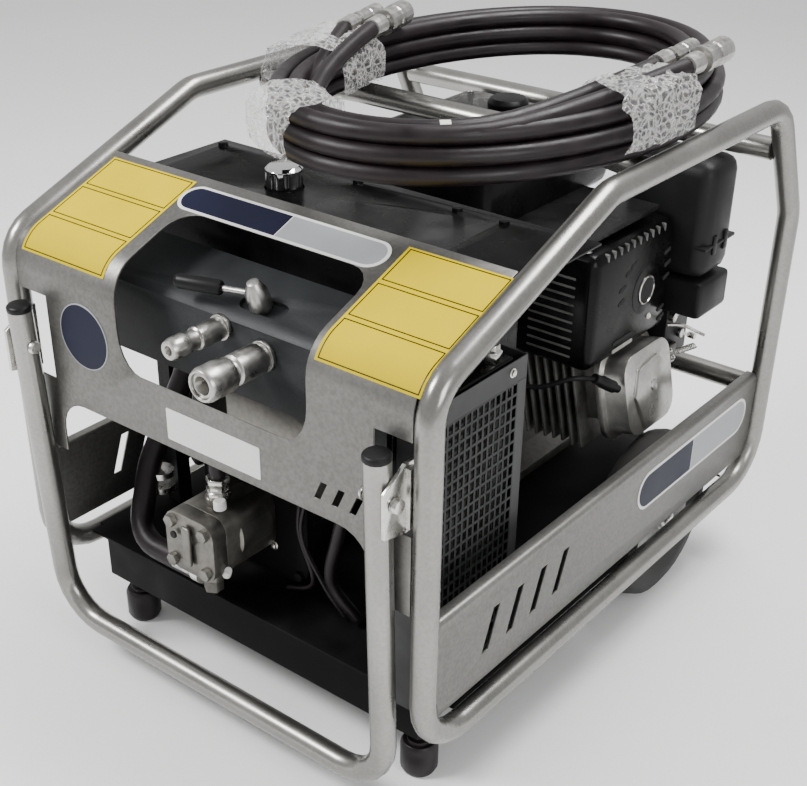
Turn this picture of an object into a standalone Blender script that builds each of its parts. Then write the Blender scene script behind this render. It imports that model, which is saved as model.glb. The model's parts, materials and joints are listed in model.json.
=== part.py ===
"""Portable hydraulic power unit: wheeled tube frame, engine, gear pump, cooler and twin hoses.

Metres, +Z up, +Y to the rear, +X to the right seen from the front.
The origin is on the floor under the middle.
"""

import math

import bmesh
import bpy
import numpy as np
from mathutils import Matrix, Vector

# ---------------------------------------------------------------- driving dimensions
GAP = 0.0003                 # running or seating gap between two pieces that touch
TUBE_R = 0.016               # frame tube, 32 mm across
FRAME_WIDTH = 0.668          # between the centre lines of the two side frames
FRONT_Y = -0.4130            # centre line of the front posts
REAR_Y = 0.4450              # centre line of the rear posts
RAIL_Z = 0.130               # centre line of the bottom rails
TOP_Z = 0.733                # centre line of the top rails
SHOULDER_Z = 0.610           # where the front post bends into the slope
SLOPE_RUN = 0.324            # how far back the slope reaches the top rail
REAR_LEAN = 0.089            # how far the rear post leans forward at the top
REAR_KINK_Z = 0.561          # where the rear post starts to lean
FRAME_BEND = 0.075           # centre-line radius of the lower corners
SHOULDER_BEND = 0.055        # centre-line radius of the bend at the top of the front post
TOP_BEND = 0.060             # centre-line radius of the two upper corners
KINK_BEND = 0.060            # centre-line radius of the bend in the rear post

SHEET = 0.0030               # panel sheet
PANEL_SET = 0.0090           # face of the front panel, forward of the post centre line
PANEL_LIP = 0.186            # length of the panel up the slope
PANEL_FOOT_Z = 0.410         # lower edge of the panel between the ears
EAR_Z = 0.330                # lower end of the panel ears
EAR_X = 0.262                # inner edge of the ears
WINDOW_X = (-0.135, 0.172)
WINDOW_Z = 0.484             # lower edge of the window
WINDOW_LIP = 0.128           # upper edge of the window, up the slope

SIDE_PANEL_Z = (0.167, 0.305)
SIDE_FLANGE = 0.018

HANDLE_X = 0.291
PIVOT_SET = 0.031            # handle pivot, forward of the post centre line
PIVOT_Z = 0.486
HANDLE_TOP = 0.048           # leg end above the pivot
HANDLE_DROP = 0.422          # bottom bar below the pivot
HANDLE_LEAN = math.radians(1.9)
BOLT_R = 0.005

WHEEL_R = 0.130
WHEEL_W = 0.072
WHEEL_Y = 0.227
WHEEL_X = 0.277
AXLE_R = 0.010

CRANK_X = -0.060
CRANK_Z = 0.262
PUMP_Y = -0.400              # front face of the pump cover
PUMP_W = 0.088
PLATE_Y = -0.284             # front face of the pump mounting plate
BELL_LEN = 0.225

CONSOLE_Y = -0.363           # front face of the console box
CONSOLE_Z = (0.481, 0.580)
COIL_Z = TOP_Z + TUBE_R + GAP
COIL_CENTRE = (0.080, 0.062)
COIL_HALF = (0.268, 0.376)
HOSE_R = 0.011
COIL_TALL = 6 * HOSE_R       # three layers of hose

HALF = FRAME_WIDTH / 2
SLOPE = math.atan2(TOP_Z - SHOULDER_Z, SLOPE_RUN)
ALONG = Vector((0, math.cos(SLOPE), math.sin(SLOPE)))
OUT = Vector((0, -math.sin(SLOPE), math.cos(SLOPE)))


# ---------------------------------------------------------------- materials
def material(name, colour, roughness, metallic=0.0):
    mat = bpy.data.materials.new(name)
    mat.use_nodes = True
    shader = mat.node_tree.nodes["Principled BSDF"]
    shader.inputs["Base Color"].default_value = (*colour, 1.0)
    shader.inputs["Roughness"].default_value = roughness
    shader.inputs["Metallic"].default_value = metallic
    return mat


for old in list(bpy.data.objects):
    bpy.data.objects.remove(old)

SILVER = material("silver_paint", (0.55, 0.54, 0.52), 0.38, 0.75)
ZINC = material("zinc_plate", (0.70, 0.69, 0.66), 0.28, 1.0)
BLACK_STEEL = material("black_steel", (0.02, 0.02, 0.02), 0.35)
TEXTURED = material("textured_grey", (0.05, 0.055, 0.06), 0.6)
CAST = material("cast_aluminium", (0.48, 0.47, 0.44), 0.5, 0.9)
RUBBER = material("rubber", (0.015, 0.015, 0.015), 0.8)
PLASTIC = material("black_plastic", (0.02, 0.02, 0.02), 0.45)
RIM_GREY = material("rim_grey", (0.30, 0.30, 0.29), 0.5, 0.4)
GEAR_STEEL = material("gear_steel", (0.45, 0.45, 0.46), 0.3, 1.0)


# ---------------------------------------------------------------- shape helpers
def finish(name, bm, mat, smooth=False):
    bmesh.ops.recalc_face_normals(bm, faces=bm.faces)
    mesh = bpy.data.meshes.new(name)
    bm.to_mesh(mesh)
    bm.free()
    obj = bpy.data.objects.new(name, mesh)
    bpy.context.scene.collection.objects.link(obj)
    mesh.materials.append(mat)
    if smooth:
        mesh.polygons.foreach_set("use_smooth", [True] * len(mesh.polygons))
    return obj


def helper(obj):
    obj.hide_render = True
    obj.display_type = "WIRE"
    return obj


def combine(target, others, operation):
    for other in others:
        helper(other)
        mod = target.modifiers.new(operation.lower(), "BOOLEAN")
        mod.operation = operation
        mod.solver = "EXACT"
        mod.object = other
    return target


def fuse(target, *others):
    return combine(target, others, "UNION")


def cut(target, *others):
    return combine(target, others, "DIFFERENCE")


def box(name, low, high, mat, bevel=0.0, segments=2):
    bm = bmesh.new()
    bmesh.ops.create_cube(bm, size=1.0)
    low, high = Vector(low), Vector(high)
    for vert in bm.verts:
        vert.co = Vector((low[i] + (vert.co[i] + 0.5) * (high[i] - low[i]) for i in range(3)))
    if bevel:
        bmesh.ops.bevel(
            bm, geom=bm.edges[:], offset=bevel, segments=segments, affect="EDGES", profile=0.5,
        )
    return finish(name, bm, mat)


def basis(direction):
    axis = Vector(direction).normalized()
    side = axis.cross(Vector((0, 0, 1)))
    if side.length < 0.1:
        side = Vector((1, 0, 0))
    side.normalize()
    return axis, side, side.cross(axis)


def turned(name, origin, direction, profile, mat, steps=24, ring=False):
    """A lathe solid: profile lists (distance along the axis, radius). A ring profile closes on itself."""
    axis, side, up = basis(direction)
    origin = Vector(origin)
    bm = bmesh.new()
    rows = []
    for dist, radius in profile:
        centre = origin + axis * dist
        if radius <= 0:
            rows.append([bm.verts.new(centre)])
            continue
        turns = (2 * math.pi * i / steps for i in range(steps))
        rows.append(
            [bm.verts.new(centre + (side * math.cos(t) + up * math.sin(t)) * radius) for t in turns]
        )
    pairs = list(zip(rows, rows[1:]))
    if ring:
        pairs.append((rows[-1], rows[0]))
    for first, second in pairs:
        for i in range(steps):
            j = (i + 1) % steps
            a = [first[0]] if len(first) == 1 else [first[i], first[j]]
            b = [second[0]] if len(second) == 1 else [second[j], second[i]]
            bm.faces.new(a + b)
    return finish(name, bm, mat, smooth=True)


def rod(name, start, end, radius, mat, steps=16):
    start, end = Vector(start), Vector(end)
    length = (end - start).length
    return turned(
        name, start, end - start, [(0, 0), (0, radius), (length, radius), (length, 0)], mat, steps,
    )


def rounded_path(corners, radius, closed=False, step=math.radians(15)):
    """The corners joined by straight lines, with an arc of the radius at each bend."""
    corners = [Vector(c) for c in corners]
    count = len(corners)
    radii = radius if isinstance(radius, (list, tuple)) else [radius] * count
    path = []
    for i, corner in enumerate(corners):
        if not closed and i in (0, count - 1):
            path.append(corner)
            continue
        before = (corners[i - 1] - corner).normalized()
        after = (corners[(i + 1) % count] - corner).normalized()
        turn = math.pi - before.angle(after)
        back = radii[i] * math.tan(turn / 2)
        start, end = corner + before * back, corner + after * back
        centre = corner + (before + after).normalized() * (radii[i] / math.cos(turn / 2))
        pieces = max(2, round(turn / step))
        for k in range(pieces + 1):
            share = k / pieces
            ray = (start - centre).slerp(end - centre, share)
            path.append(centre + ray.normalized() * radii[i])
    return path


def swept(name, path, radius, mat, closed=False, steps=16):
    """A round bar along the path, with no twist and flat ends."""
    bm = bmesh.new()
    count = len(path)
    rows = []
    up = None
    for i, point in enumerate(path):
        ahead = path[(i + 1) % count] - point if closed or i < count - 1 else point - path[i - 1]
        behind = point - path[i - 1] if closed or i else ahead
        tangent = (ahead.normalized() + behind.normalized()).normalized()
        if up is None:
            up = basis(tangent)[2]
        up = (up - tangent * up.dot(tangent)).normalized()
        side = up.cross(tangent)
        stretch = 1 / max(0.5, math.cos(ahead.angle(behind) / 2)) if ahead.angle(behind, 0) > 1e-6 else 1.0
        inward = (ahead.normalized() - behind.normalized())
        row = []
        for k in range(steps):
            t = 2 * math.pi * (k + 0.5) / steps
            spoke = (side * math.cos(t) + up * math.sin(t)) * radius
            if inward.length > 1e-6:
                lean = inward.normalized()
                spoke += lean * spoke.dot(lean) * (stretch - 1)
            row.append(bm.verts.new(point + spoke))
        rows.append(row)
    loops = list(zip(rows, rows[1:])) + ([(rows[-1], rows[0])] if closed else [])
    for first, second in loops:
        for k in range(steps):
            j = (k + 1) % steps
            bm.faces.new((first[k], first[j], second[j], second[k]))
    if not closed:
        bm.faces.new(rows[0])
        bm.faces.new(rows[-1][::-1])
    return finish(name, bm, mat, smooth=True)


def prism(name, outline, place, thickness, mat, holes=()):
    """A flat plate: outline and holes are (u, v) lists, place is (corner, u axis, v axis, depth axis)."""
    corner, u_axis, v_axis, depth = (Vector(v) for v in place)
    bm = bmesh.new()
    edges = []
    for loop in (outline, *holes):
        ring = [bm.verts.new(corner + u_axis * u + v_axis * v) for u, v in loop]
        edges += [bm.edges.new((ring[i], ring[(i + 1) % len(ring)])) for i in range(len(ring))]
    bmesh.ops.triangle_fill(bm, use_beauty=True, use_dissolve=False, edges=edges)
    faces = bm.faces[:]
    pushed = bmesh.ops.extrude_face_region(bm, geom=faces)
    moved = [item for item in pushed["geom"] if isinstance(item, bmesh.types.BMVert)]
    bmesh.ops.translate(bm, vec=depth * thickness, verts=moved)
    return finish(name, bm, mat)


def rounded_rect(centre, width, height, radius, pieces=4):
    points = []
    for quarter in range(4):
        sx, sy = ((1, 1), (-1, 1), (-1, -1), (1, -1))[quarter]
        middle = (centre[0] + sx * (width / 2 - radius), centre[1] + sy * (height / 2 - radius))
        for k in range(pieces + 1):
            t = math.pi / 2 * (quarter + k / pieces)
            points.append((middle[0] + radius * math.cos(t), middle[1] + radius * math.sin(t)))
    return points


def circle(centre, radius, steps=16):
    turns = (2 * math.pi * k / steps for k in range(steps))
    return [(centre[0] + radius * math.cos(t), centre[1] + radius * math.sin(t)) for t in turns]


X, Y, Z = Vector((1, 0, 0)), Vector((0, 1, 0)), Vector((0, 0, 1))


# ---------------------------------------------------------------- tube frame
def side_corners(x):
    return [
        (x, FRONT_Y, RAIL_Z),
        (x, FRONT_Y, SHOULDER_Z),
        (x, FRONT_Y + SLOPE_RUN, TOP_Z),
        (x, REAR_Y - REAR_LEAN, TOP_Z),
        (x, REAR_Y, REAR_KINK_Z),
        (x, REAR_Y, RAIL_Z),
    ]


def side_path(x):
    bends = [FRAME_BEND, SHOULDER_BEND, TOP_BEND, TOP_BEND, KINK_BEND, FRAME_BEND]
    return rounded_path(side_corners(x), bends, closed=True)


def rear_post_y(z):
    """Centre line of the rear post at height z."""
    share = max(0.0, (z - REAR_KINK_Z) / (TOP_Z - REAR_KINK_Z))
    return REAR_Y - REAR_LEAN * share


def make_frame():
    for side, x in (("left", -HALF), ("right", HALF)):
        swept("side_frame_" + side, side_path(x), TUBE_R, SILVER, closed=True)
    reach = HALF - TUBE_R - GAP
    upper_z = 0.664
    for name, z in (("rear_cross_tube", upper_z), ("rear_lower_tube", 0.276)):
        y = rear_post_y(z)
        rod(name, (-reach, y, z), (reach, y, z), TUBE_R, SILVER)
    bow_y = 0.045
    bow_r = TUBE_R * 0.94
    crown_z = COIL_Z - GAP - bow_r
    end_z = TOP_Z - 0.013
    corners = [
        (-reach, bow_y, end_z), (-0.285, bow_y, end_z), (-0.16, bow_y, crown_z),
        (0.19, bow_y, crown_z), (0.290, bow_y, end_z), (reach, bow_y, end_z),
    ]
    swept("lifting_bow", rounded_path(corners, 0.30, step=math.radians(3)), bow_r, SILVER)


def panel_profile():
    """(y, z) of the panel's outer face from the foot up and over the bend, then back down the inner face."""
    def offset(distance):
        face_y = FRONT_Y - distance
        top = Vector((0, FRONT_Y, SHOULDER_Z)) + OUT * distance
        end = top + ALONG * PANEL_LIP
        bend_z = top.z + (face_y - top.y) * math.tan(SLOPE)
        corner = (0, face_y, bend_z)
        return rounded_path(
            [(0, face_y, EAR_Z), corner, (0, end.y, end.z)], 0.046 + distance, step=math.radians(12),
        )
    return offset(PANEL_SET), offset(PANEL_SET - SHEET)


def make_front_panel():
    outer, inner = panel_profile()
    reach = HALF - math.sqrt(TUBE_R ** 2 - (PANEL_SET - SHEET) ** 2) - GAP
    bm = bmesh.new()
    rows = []
    for x in (-reach, reach):
        rows.append(
            ([bm.verts.new((x, p.y, p.z)) for p in outer], [bm.verts.new((x, p.y, p.z)) for p in inner])
        )
    (lo, li), (ro, ri) = rows
    for k in range(len(outer) - 1):
        bm.faces.new((lo[k], lo[k + 1], ro[k + 1], ro[k]))
        bm.faces.new((li[k], ri[k], ri[k + 1], li[k + 1]))
        bm.faces.new((lo[k], li[k], li[k + 1], lo[k + 1]))
        bm.faces.new((ro[k], ro[k + 1], ri[k + 1], ri[k]))
    bm.faces.new((lo[0], ro[0], ri[0], li[0]))
    bm.faces.new((lo[-1], li[-1], ri[-1], ro[-1]))
    panel = finish("front_panel", bm, SILVER)

    look = (Y - Z).normalized()
    rise = (Y + Z).normalized()
    start = Vector((0, FRONT_Y, 0))
    high = Vector((0, 0, SHOULDER_Z)) + ALONG * WINDOW_LIP
    v_low, v_high = WINDOW_Z * rise.z, high.dot(rise)
    middle = (sum(WINDOW_X) / 2, (v_low + v_high) / 2)
    hole = rounded_rect(middle, WINDOW_X[1] - WINDOW_X[0], v_high - v_low, 0.036, pieces=5)
    window = prism("window_cutter", hole, (start - look * 0.5, X, rise, look), 1.0, SILVER)

    arch = [(-EAR_X, EAR_Z - 0.02), (EAR_X, EAR_Z - 0.02), (EAR_X, EAR_Z + 0.02)]
    blend = 0.046
    for k in range(7):
        t = math.pi / 2 * k / 6
        arch.append((EAR_X - blend * (1 - math.cos(t)), PANEL_FOOT_Z - blend * (1 - math.sin(t))))
    for k in range(6, -1, -1):
        t = math.pi / 2 * k / 6
        arch.append((-EAR_X + blend * (1 - math.cos(t)), PANEL_FOOT_Z - blend * (1 - math.sin(t))))
    arch.append((-EAR_X, EAR_Z + 0.02))
    foot = prism("foot_cutter", arch, ((0, FRONT_Y - 0.1, 0), X, Z, Y), 0.2, SILVER)
    cutters = [window, foot]
    for sign in (-1, 1):
        low = (sign * (HANDLE_X - TUBE_R - 0.008), FRONT_Y - 0.05, PIVOT_Z - 0.050)
        high = (sign * (HALF + 0.02), FRONT_Y + 0.0, PIVOT_Z + HANDLE_TOP + 0.018)
        ordered = [(min(a, b), max(a, b)) for a, b in zip(low, high)]
        cutters.append(box("notch_cutter", [a for a, _ in ordered], [b for _, b in ordered], SILVER))
    slots = []
    for k in range(3):
        centre = 0.186 + 0.026 * k
        slots.append([(centre - 0.006, 0.432), (centre + 0.003, 0.432), (centre + 0.014, 0.456),
            (centre + 0.005, 0.456)])
    for k, slot in enumerate(slots):
        cutters.append(prism("slot_cutter", slot, ((0, FRONT_Y - 0.05, 0), X, Z, Y), 0.1, SILVER))
    return cut(panel, *cutters)


def make_side_panels():
    low, high = SIDE_PANEL_Z
    front = FRONT_Y + TUBE_R + GAP
    rear = REAR_Y - TUBE_R - GAP
    for side, sign in (("left", -1), ("right", 1)):
        x = sign * HALF
        bm = bmesh.new()
        bend = 0.008
        face = [(x, low), (x, high - bend)]
        for k in range(1, 6):
            t = math.pi / 2 * k / 5
            face.append((x - sign * bend * (1 - math.cos(t)), high - bend + bend * math.sin(t)))
        face.append((x - sign * SIDE_FLANGE, high))
        inner = [(x - sign * SHEET, low), (x - sign * SHEET, high - bend)]
        for k in range(1, 6):
            t = math.pi / 2 * k / 5
            small = bend - SHEET
            inner.append(
                (x - sign * (SHEET + small * (1 - math.cos(t))), high - bend + small * math.sin(t))
            )
        inner.append((x - sign * SIDE_FLANGE, high - SHEET))
        loop = face + inner[::-1]
        ends = [[bm.verts.new((u, y, v)) for u, v in loop] for y in (front, rear)]
        count = len(loop)
        for k in range(count):
            j = (k + 1) % count
            bm.faces.new((ends[0][k], ends[0][j], ends[1][j], ends[1][k]))
        half = len(face)
        for ring in ends:
            for k in range(half - 1):
                bm.faces.new((ring[k], ring[k + 1], ring[count - 2 - k], ring[count - 1 - k]))
        panel = finish("side_panel_" + side, bm, SILVER)
        fit = swept("fit_cutter", side_path(x), TUBE_R + GAP, SILVER, closed=True)
        cutters = [fit]
        for k in range(4):
            y = front + 0.100 + 0.052 * k
            slot = [
                (y, low + 0.040), (y + 0.014, low + 0.040), (y + 0.036, low + 0.098),
                (y + 0.022, low + 0.098),
            ]
            cutters.append(prism("slot_cutter", slot, ((x - 0.05, 0, 0), Y, Z, X), 0.1, SILVER))
        cut(panel, *cutters)


# ---------------------------------------------------------------- lift handle
def make_handle():
    pivot_y = FRONT_Y - PIVOT_SET
    down = Vector((0, math.sin(HANDLE_LEAN), -math.cos(HANDLE_LEAN)))
    left, right = Vector((-HANDLE_X, pivot_y, PIVOT_Z)), Vector((HANDLE_X, pivot_y, PIVOT_Z))
    corners = [
        left - down * HANDLE_TOP, left + down * HANDLE_DROP, right + down * HANDLE_DROP,
        right - down * HANDLE_TOP,
    ]
    handle = swept("lift_handle", rounded_path(corners, 0.068), TUBE_R, SILVER)
    bores = []
    for point in (left, right):
        bores.append(rod("bore_cutter", point - X * 0.03, point + X * 0.03, BOLT_R + GAP, SILVER))
    cut(handle, *bores)
    for side, top in (("left", corners[0]), ("right", corners[3])):
        profile = [
            (GAP, 0), (GAP, TUBE_R + 0.0004), (0.006, TUBE_R + 0.0004), (0.0085, TUBE_R - 0.002),
            (0.0095, 0),
        ]
        turned("handle_cap_" + side, top, -down, profile, PLASTIC)
    for side, sign in (("left", -1), ("right", 1)):
        inner = HANDLE_X + TUBE_R + 0.0006
        reach = HALF - TUBE_R - GAP
        plate = [
            (-0.015, -0.038), (0.020, -0.046), (0.035, -0.046), (0.035, 0.040), (0.020, 0.040),
            (-0.015, 0.018),
        ]
        bracket = prism(
            "handle_pivot_" + side, plate, ((sign * inner, pivot_y, PIVOT_Z), Y, Z, X * sign), 0.0048,
            ZINC,
        )
        pad_low = (sign * (inner + 0.002), FRONT_Y - 0.010, PIVOT_Z - 0.040)
        pad_high = (sign * reach, FRONT_Y + 0.003, PIVOT_Z + 0.034)
        ordered = [(min(a, b), max(a, b)) for a, b in zip(pad_low, pad_high)]
        pad = box("pad_helper", [a for a, _ in ordered], [b for _, b in ordered], ZINC)
        centre = Vector((sign * inner, pivot_y, PIVOT_Z))
        head = (HANDLE_X - TUBE_R - 0.0010) * sign
        bolt = [(0, 0), (0, 0.0075), (0.0045, 0.0095), (0.0045, BOLT_R)]
        start = head - sign * 0.0045
        tail = abs(inner - abs(start)) + 0.0135
        bolt += [(tail - 0.008, BOLT_R), (tail - 0.008, 0.0095), (tail, 0.0085), (tail, 0)]
        pin = turned("bolt_helper", (start, pivot_y, PIVOT_Z), X * sign, bolt, ZINC, steps=12)
        fuse(bracket, pad, pin)


# ---------------------------------------------------------------- wheels, axle, feet, tray
def make_running_gear():
    tyre_in = WHEEL_R * 0.60
    half = WHEEL_W / 2
    for side, sign in (("left", -1), ("right", 1)):
        hub = (sign * WHEEL_X, WHEEL_Y, WHEEL_R)
        tread = WHEEL_R - 0.006
        section = [
            (-half * 0.72, tyre_in), (half * 0.72, tyre_in), (half, tyre_in + 0.016),
            (half, WHEEL_R - 0.020),
            (half * 0.78, tread), (half * 0.30, WHEEL_R), (-half * 0.30, WHEEL_R),
            (-half * 0.78, tread),
            (-half, WHEEL_R - 0.020), (-half, tyre_in + 0.016),
        ]
        turned("tyre_" + side, hub, X * sign, section, RUBBER, steps=32, ring=True)
        bore = AXLE_R + GAP
        edge = tyre_in - GAP
        rim = [
            (-half * 0.72, edge), (-half * 0.72, edge - 0.006), (-0.004, edge - 0.014), (-0.004, 0.026),
            (-half * 0.9, 0.020), (-half * 0.9, bore), (half * 0.80, bore), (half * 0.80, 0.020),
            (0.006, 0.026),
            (0.006, edge - 0.014), (half * 0.72, edge - 0.006), (half * 0.72, edge),
        ]
        wheel = turned("rim_" + side, hub, X * sign, rim, RIM_GREY, steps=32, ring=True)
        cutters = []
        for k in range(4):
            t = math.pi / 2 * (k + 0.5)
            at = Vector(hub) + Vector((0, math.cos(t), math.sin(t))) * 0.045
            cutters.append(rod("hole_cutter", at - X * 0.04, at + X * 0.04, 0.009, RIM_GREY, steps=8))
        cut(wheel, *cutters)
    cap = WHEEL_X + half * 0.80 + 2 * GAP
    stop = cap + 0.007
    shaft = [
        (-stop, 0), (-stop, 0.013), (-cap, 0.016), (-cap, AXLE_R), (cap, AXLE_R), (cap, 0.016),
        (stop, 0.013), (stop, 0),
    ]
    turned("axle", (0, WHEEL_Y, WHEEL_R), X, shaft, ZINC, steps=20)


def make_tray():
    """The pressed base tray that the engine, the feet and the axle are bolted to."""
    top = RAIL_Z + 0.0165
    sheet = 0.004
    contact = math.sqrt(TUBE_R ** 2 - (top - sheet - RAIL_Z) ** 2)
    wide = HALF - contact - GAP
    front, rear = FRONT_Y + 0.055, REAR_Y - 0.030
    well = WHEEL_R + 0.012
    well_front, well_rear = WHEEL_Y - well, WHEEL_Y + well
    narrow = WHEEL_X - WHEEL_W / 2 - 0.014
    reach = HALF - TUBE_R - GAP
    straight_front, straight_rear = FRONT_Y + FRAME_BEND, REAR_Y - FRAME_BEND
    right = [
        (reach, front), (reach, straight_front), (wide, straight_front), (wide, well_front),
        (narrow, well_front),
        (narrow, well_rear), (wide, well_rear), (wide, straight_rear), (reach, straight_rear),
        (reach, rear),
    ]
    outline = right + [(-x, y) for x, y in reversed(right)]
    tray = prism("base_tray", outline, ((0, 0, top - sheet), X, Y, Z), sheet, BLACK_STEEL)
    skirt = box(
        "skirt_helper", (-0.285, front, RAIL_Z - 0.046), (0.285, front + sheet, top - 0.001),
        BLACK_STEEL,
    )
    back = box(
        "back_helper", (-0.285, rear - sheet, RAIL_Z - 0.030), (0.285, rear, top - 0.001), BLACK_STEEL,
    )
    parts = [skirt, back]
    for sign in (-1, 1):
        x = sign * (narrow - 0.020)
        hanger = [(WHEEL_Y - 0.045, top - 0.001), (WHEEL_Y + 0.045, top - 0.001),
            (WHEEL_Y + 0.022, WHEEL_R - 0.022),
                  (WHEEL_Y - 0.022, WHEEL_R - 0.022)]
        hole = circle((WHEEL_Y, WHEEL_R), AXLE_R + GAP, 20)
        parts.append(prism("hanger_helper", hanger, ((x - 0.003, 0, 0), Y, Z, X), 0.006, BLACK_STEEL,
            holes=[hole]))
    fuse(tray, *parts)
    foot_x, foot_y, foot_r = 0.262, FRONT_Y + 0.091, 0.025
    for side, sign in (("left", -1), ("right", 1)):
        profile = [
            (0, 0), (0, foot_r - 0.004), (0.008, foot_r), (0.044, foot_r), (0.050, foot_r - 0.003),
            (0.050, 0.016),
            (0.054, 0.016), (0.054, 0.009), (top - sheet - GAP, 0.009), (top - sheet - GAP, 0),
        ]
        turned("foot_" + side, (sign * foot_x, foot_y, 0), Z, profile, RUBBER, steps=18)


# ---------------------------------------------------------------- console, lever and couplings
def console_top_z(y):
    return CONSOLE_Z[1] + (y - CONSOLE_Y) * math.tan(SLOPE)


CONSOLE_RIGHT = 0.238
LEVER_X, LEVER_Y = 0.024, CONSOLE_Y + 0.030
LEVER_BASE = Vector((LEVER_X, LEVER_Y, CONSOLE_Z[1] + 0.030 * math.tan(SLOPE)))
MALE_AT = (-0.012, 0.565)
FEMALE_AT = (0.055, 0.548)


def make_console():
    rear = CONSOLE_Y + 0.085
    side = [
        (CONSOLE_Y, CONSOLE_Z[0]), (rear, CONSOLE_Z[0]), (rear, console_top_z(rear)), (
            CONSOLE_Y + 0.006, console_top_z(CONSOLE_Y + 0.006),
        ),
        (CONSOLE_Y, CONSOLE_Z[1] - 0.004),
    ]
    console = prism("console_box", side, ((-0.262, 0, 0), Y, Z, X), 0.262 + CONSOLE_RIGHT, TEXTURED)
    seat = rod("seat_cutter", LEVER_BASE - OUT * 0.020, LEVER_BASE + OUT * 0.02, 0.0075, TEXTURED, 20)
    bores = [seat]
    for x, z in (MALE_AT, FEMALE_AT):
        bores.append(rod("port_cutter", (x, CONSOLE_Y - 0.02, z), (x, CONSOLE_Y + 0.020, z), 0.0102,
            TEXTURED, 20))
    slot = rounded_rect((0.004, 0.0), 0.070, 0.026, 0.0125)
    place = (LEVER_BASE - OUT * 0.006, X, ALONG, OUT)
    bores.append(prism("slot_cutter", [(u, v) for u, v in slot], place, 0.03, TEXTURED))
    cut(console, *bores)

    profile = [
        (-0.019, 0), (-0.019, 0.0070), (-0.0055, 0.0070), (-0.0055, 0.0115), (0.0006, 0.0115),
        (0.0006, 0.0150), (0.022, 0.0140), (0.036, 0.0075), (0.038, 0),
    ]
    lever = turned("control_lever", LEVER_BASE, OUT, profile, ZINC, steps=20)
    swing = math.radians(16)
    flat = (ALONG * -math.sin(swing) - X * math.cos(swing)).normalized()
    point = (flat + OUT * 0.10).normalized()
    root = LEVER_BASE + OUT * 0.018
    stem = rod("stem_helper", root, root + point * 0.060, 0.0040, ZINC, 12)
    fuse(lever, stem)
    grip = [
        (0.046, 0.0044), (0.046, 0.0080), (0.050, 0.0092), (0.100, 0.0092), (0.104, 0.0075),
        (0.104, 0.0044),
    ]
    cap = [
        (0.0605, 0), (0.0605, 0.0044), (0.046, 0.0044), (0.046, 0.0080), (0.049, 0.0094),
        (0.103, 0.0094), (0.107, 0.0070), (0.107, 0),
    ]
    turned("lever_grip", root, point, cap, PLASTIC, steps=20)

    x, z = MALE_AT
    profile = [
        (-0.019, 0), (-0.019, 0.0099), (GAP * -1, 0.0099), (GAP * -1, 0.0165), (0.006, 0.0165),
        (0.006, 0.0135), (0.012, 0.0135),
        (0.012, 0.0145), (0.044, 0.0145), (0.046, 0.0120), (0.060, 0.0120), (0.062, 0.0138),
        (0.080, 0.0138), (0.087, 0.0115), (0.087, 0.006),
        (0.066, 0.005), (0.066, 0),
    ]
    profile = [(d if d < 0 and d < -0.01 else max(d, GAP), r) for d, r in profile]
    turned("male_coupling", (x, CONSOLE_Y, z), -Y, profile, ZINC, steps=20)
    x, z = FEMALE_AT
    body = [
        (-0.019, 0), (-0.019, 0.0099), (GAP, 0.0099), (GAP, 0.0195), (0.006, 0.0195), (0.006, 0.0165),
        (0.012, 0.0165), (0.012, 0.0190),
        (0.052, 0.0190), (0.054, 0.0155), (0.101, 0.0155), (0.101, 0.0115), (0.070, 0.0100), (0.070, 0),
    ]
    turned("female_coupling", (x, CONSOLE_Y, z), -Y, body, ZINC, steps=20)
    inner = 0.0155 + GAP
    sleeve = [
        (0.0605, inner), (0.0605, 0.0200), (0.064, 0.0212), (0.070, 0.0205), (0.074, 0.0214),
        (0.098, 0.0214), (0.1035, 0.0190), (0.1035, inner),
    ]
    turned("coupling_sleeve", (x, CONSOLE_Y, z), -Y, sleeve, ZINC, steps=20, ring=True)


# ---------------------------------------------------------------- hydraulics
TANK_LOW, TANK_HIGH = (-0.300, -0.245, 0.440), (0.208, -0.060, 0.655)
TANK_CAP = (-0.105, -0.150)


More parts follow.
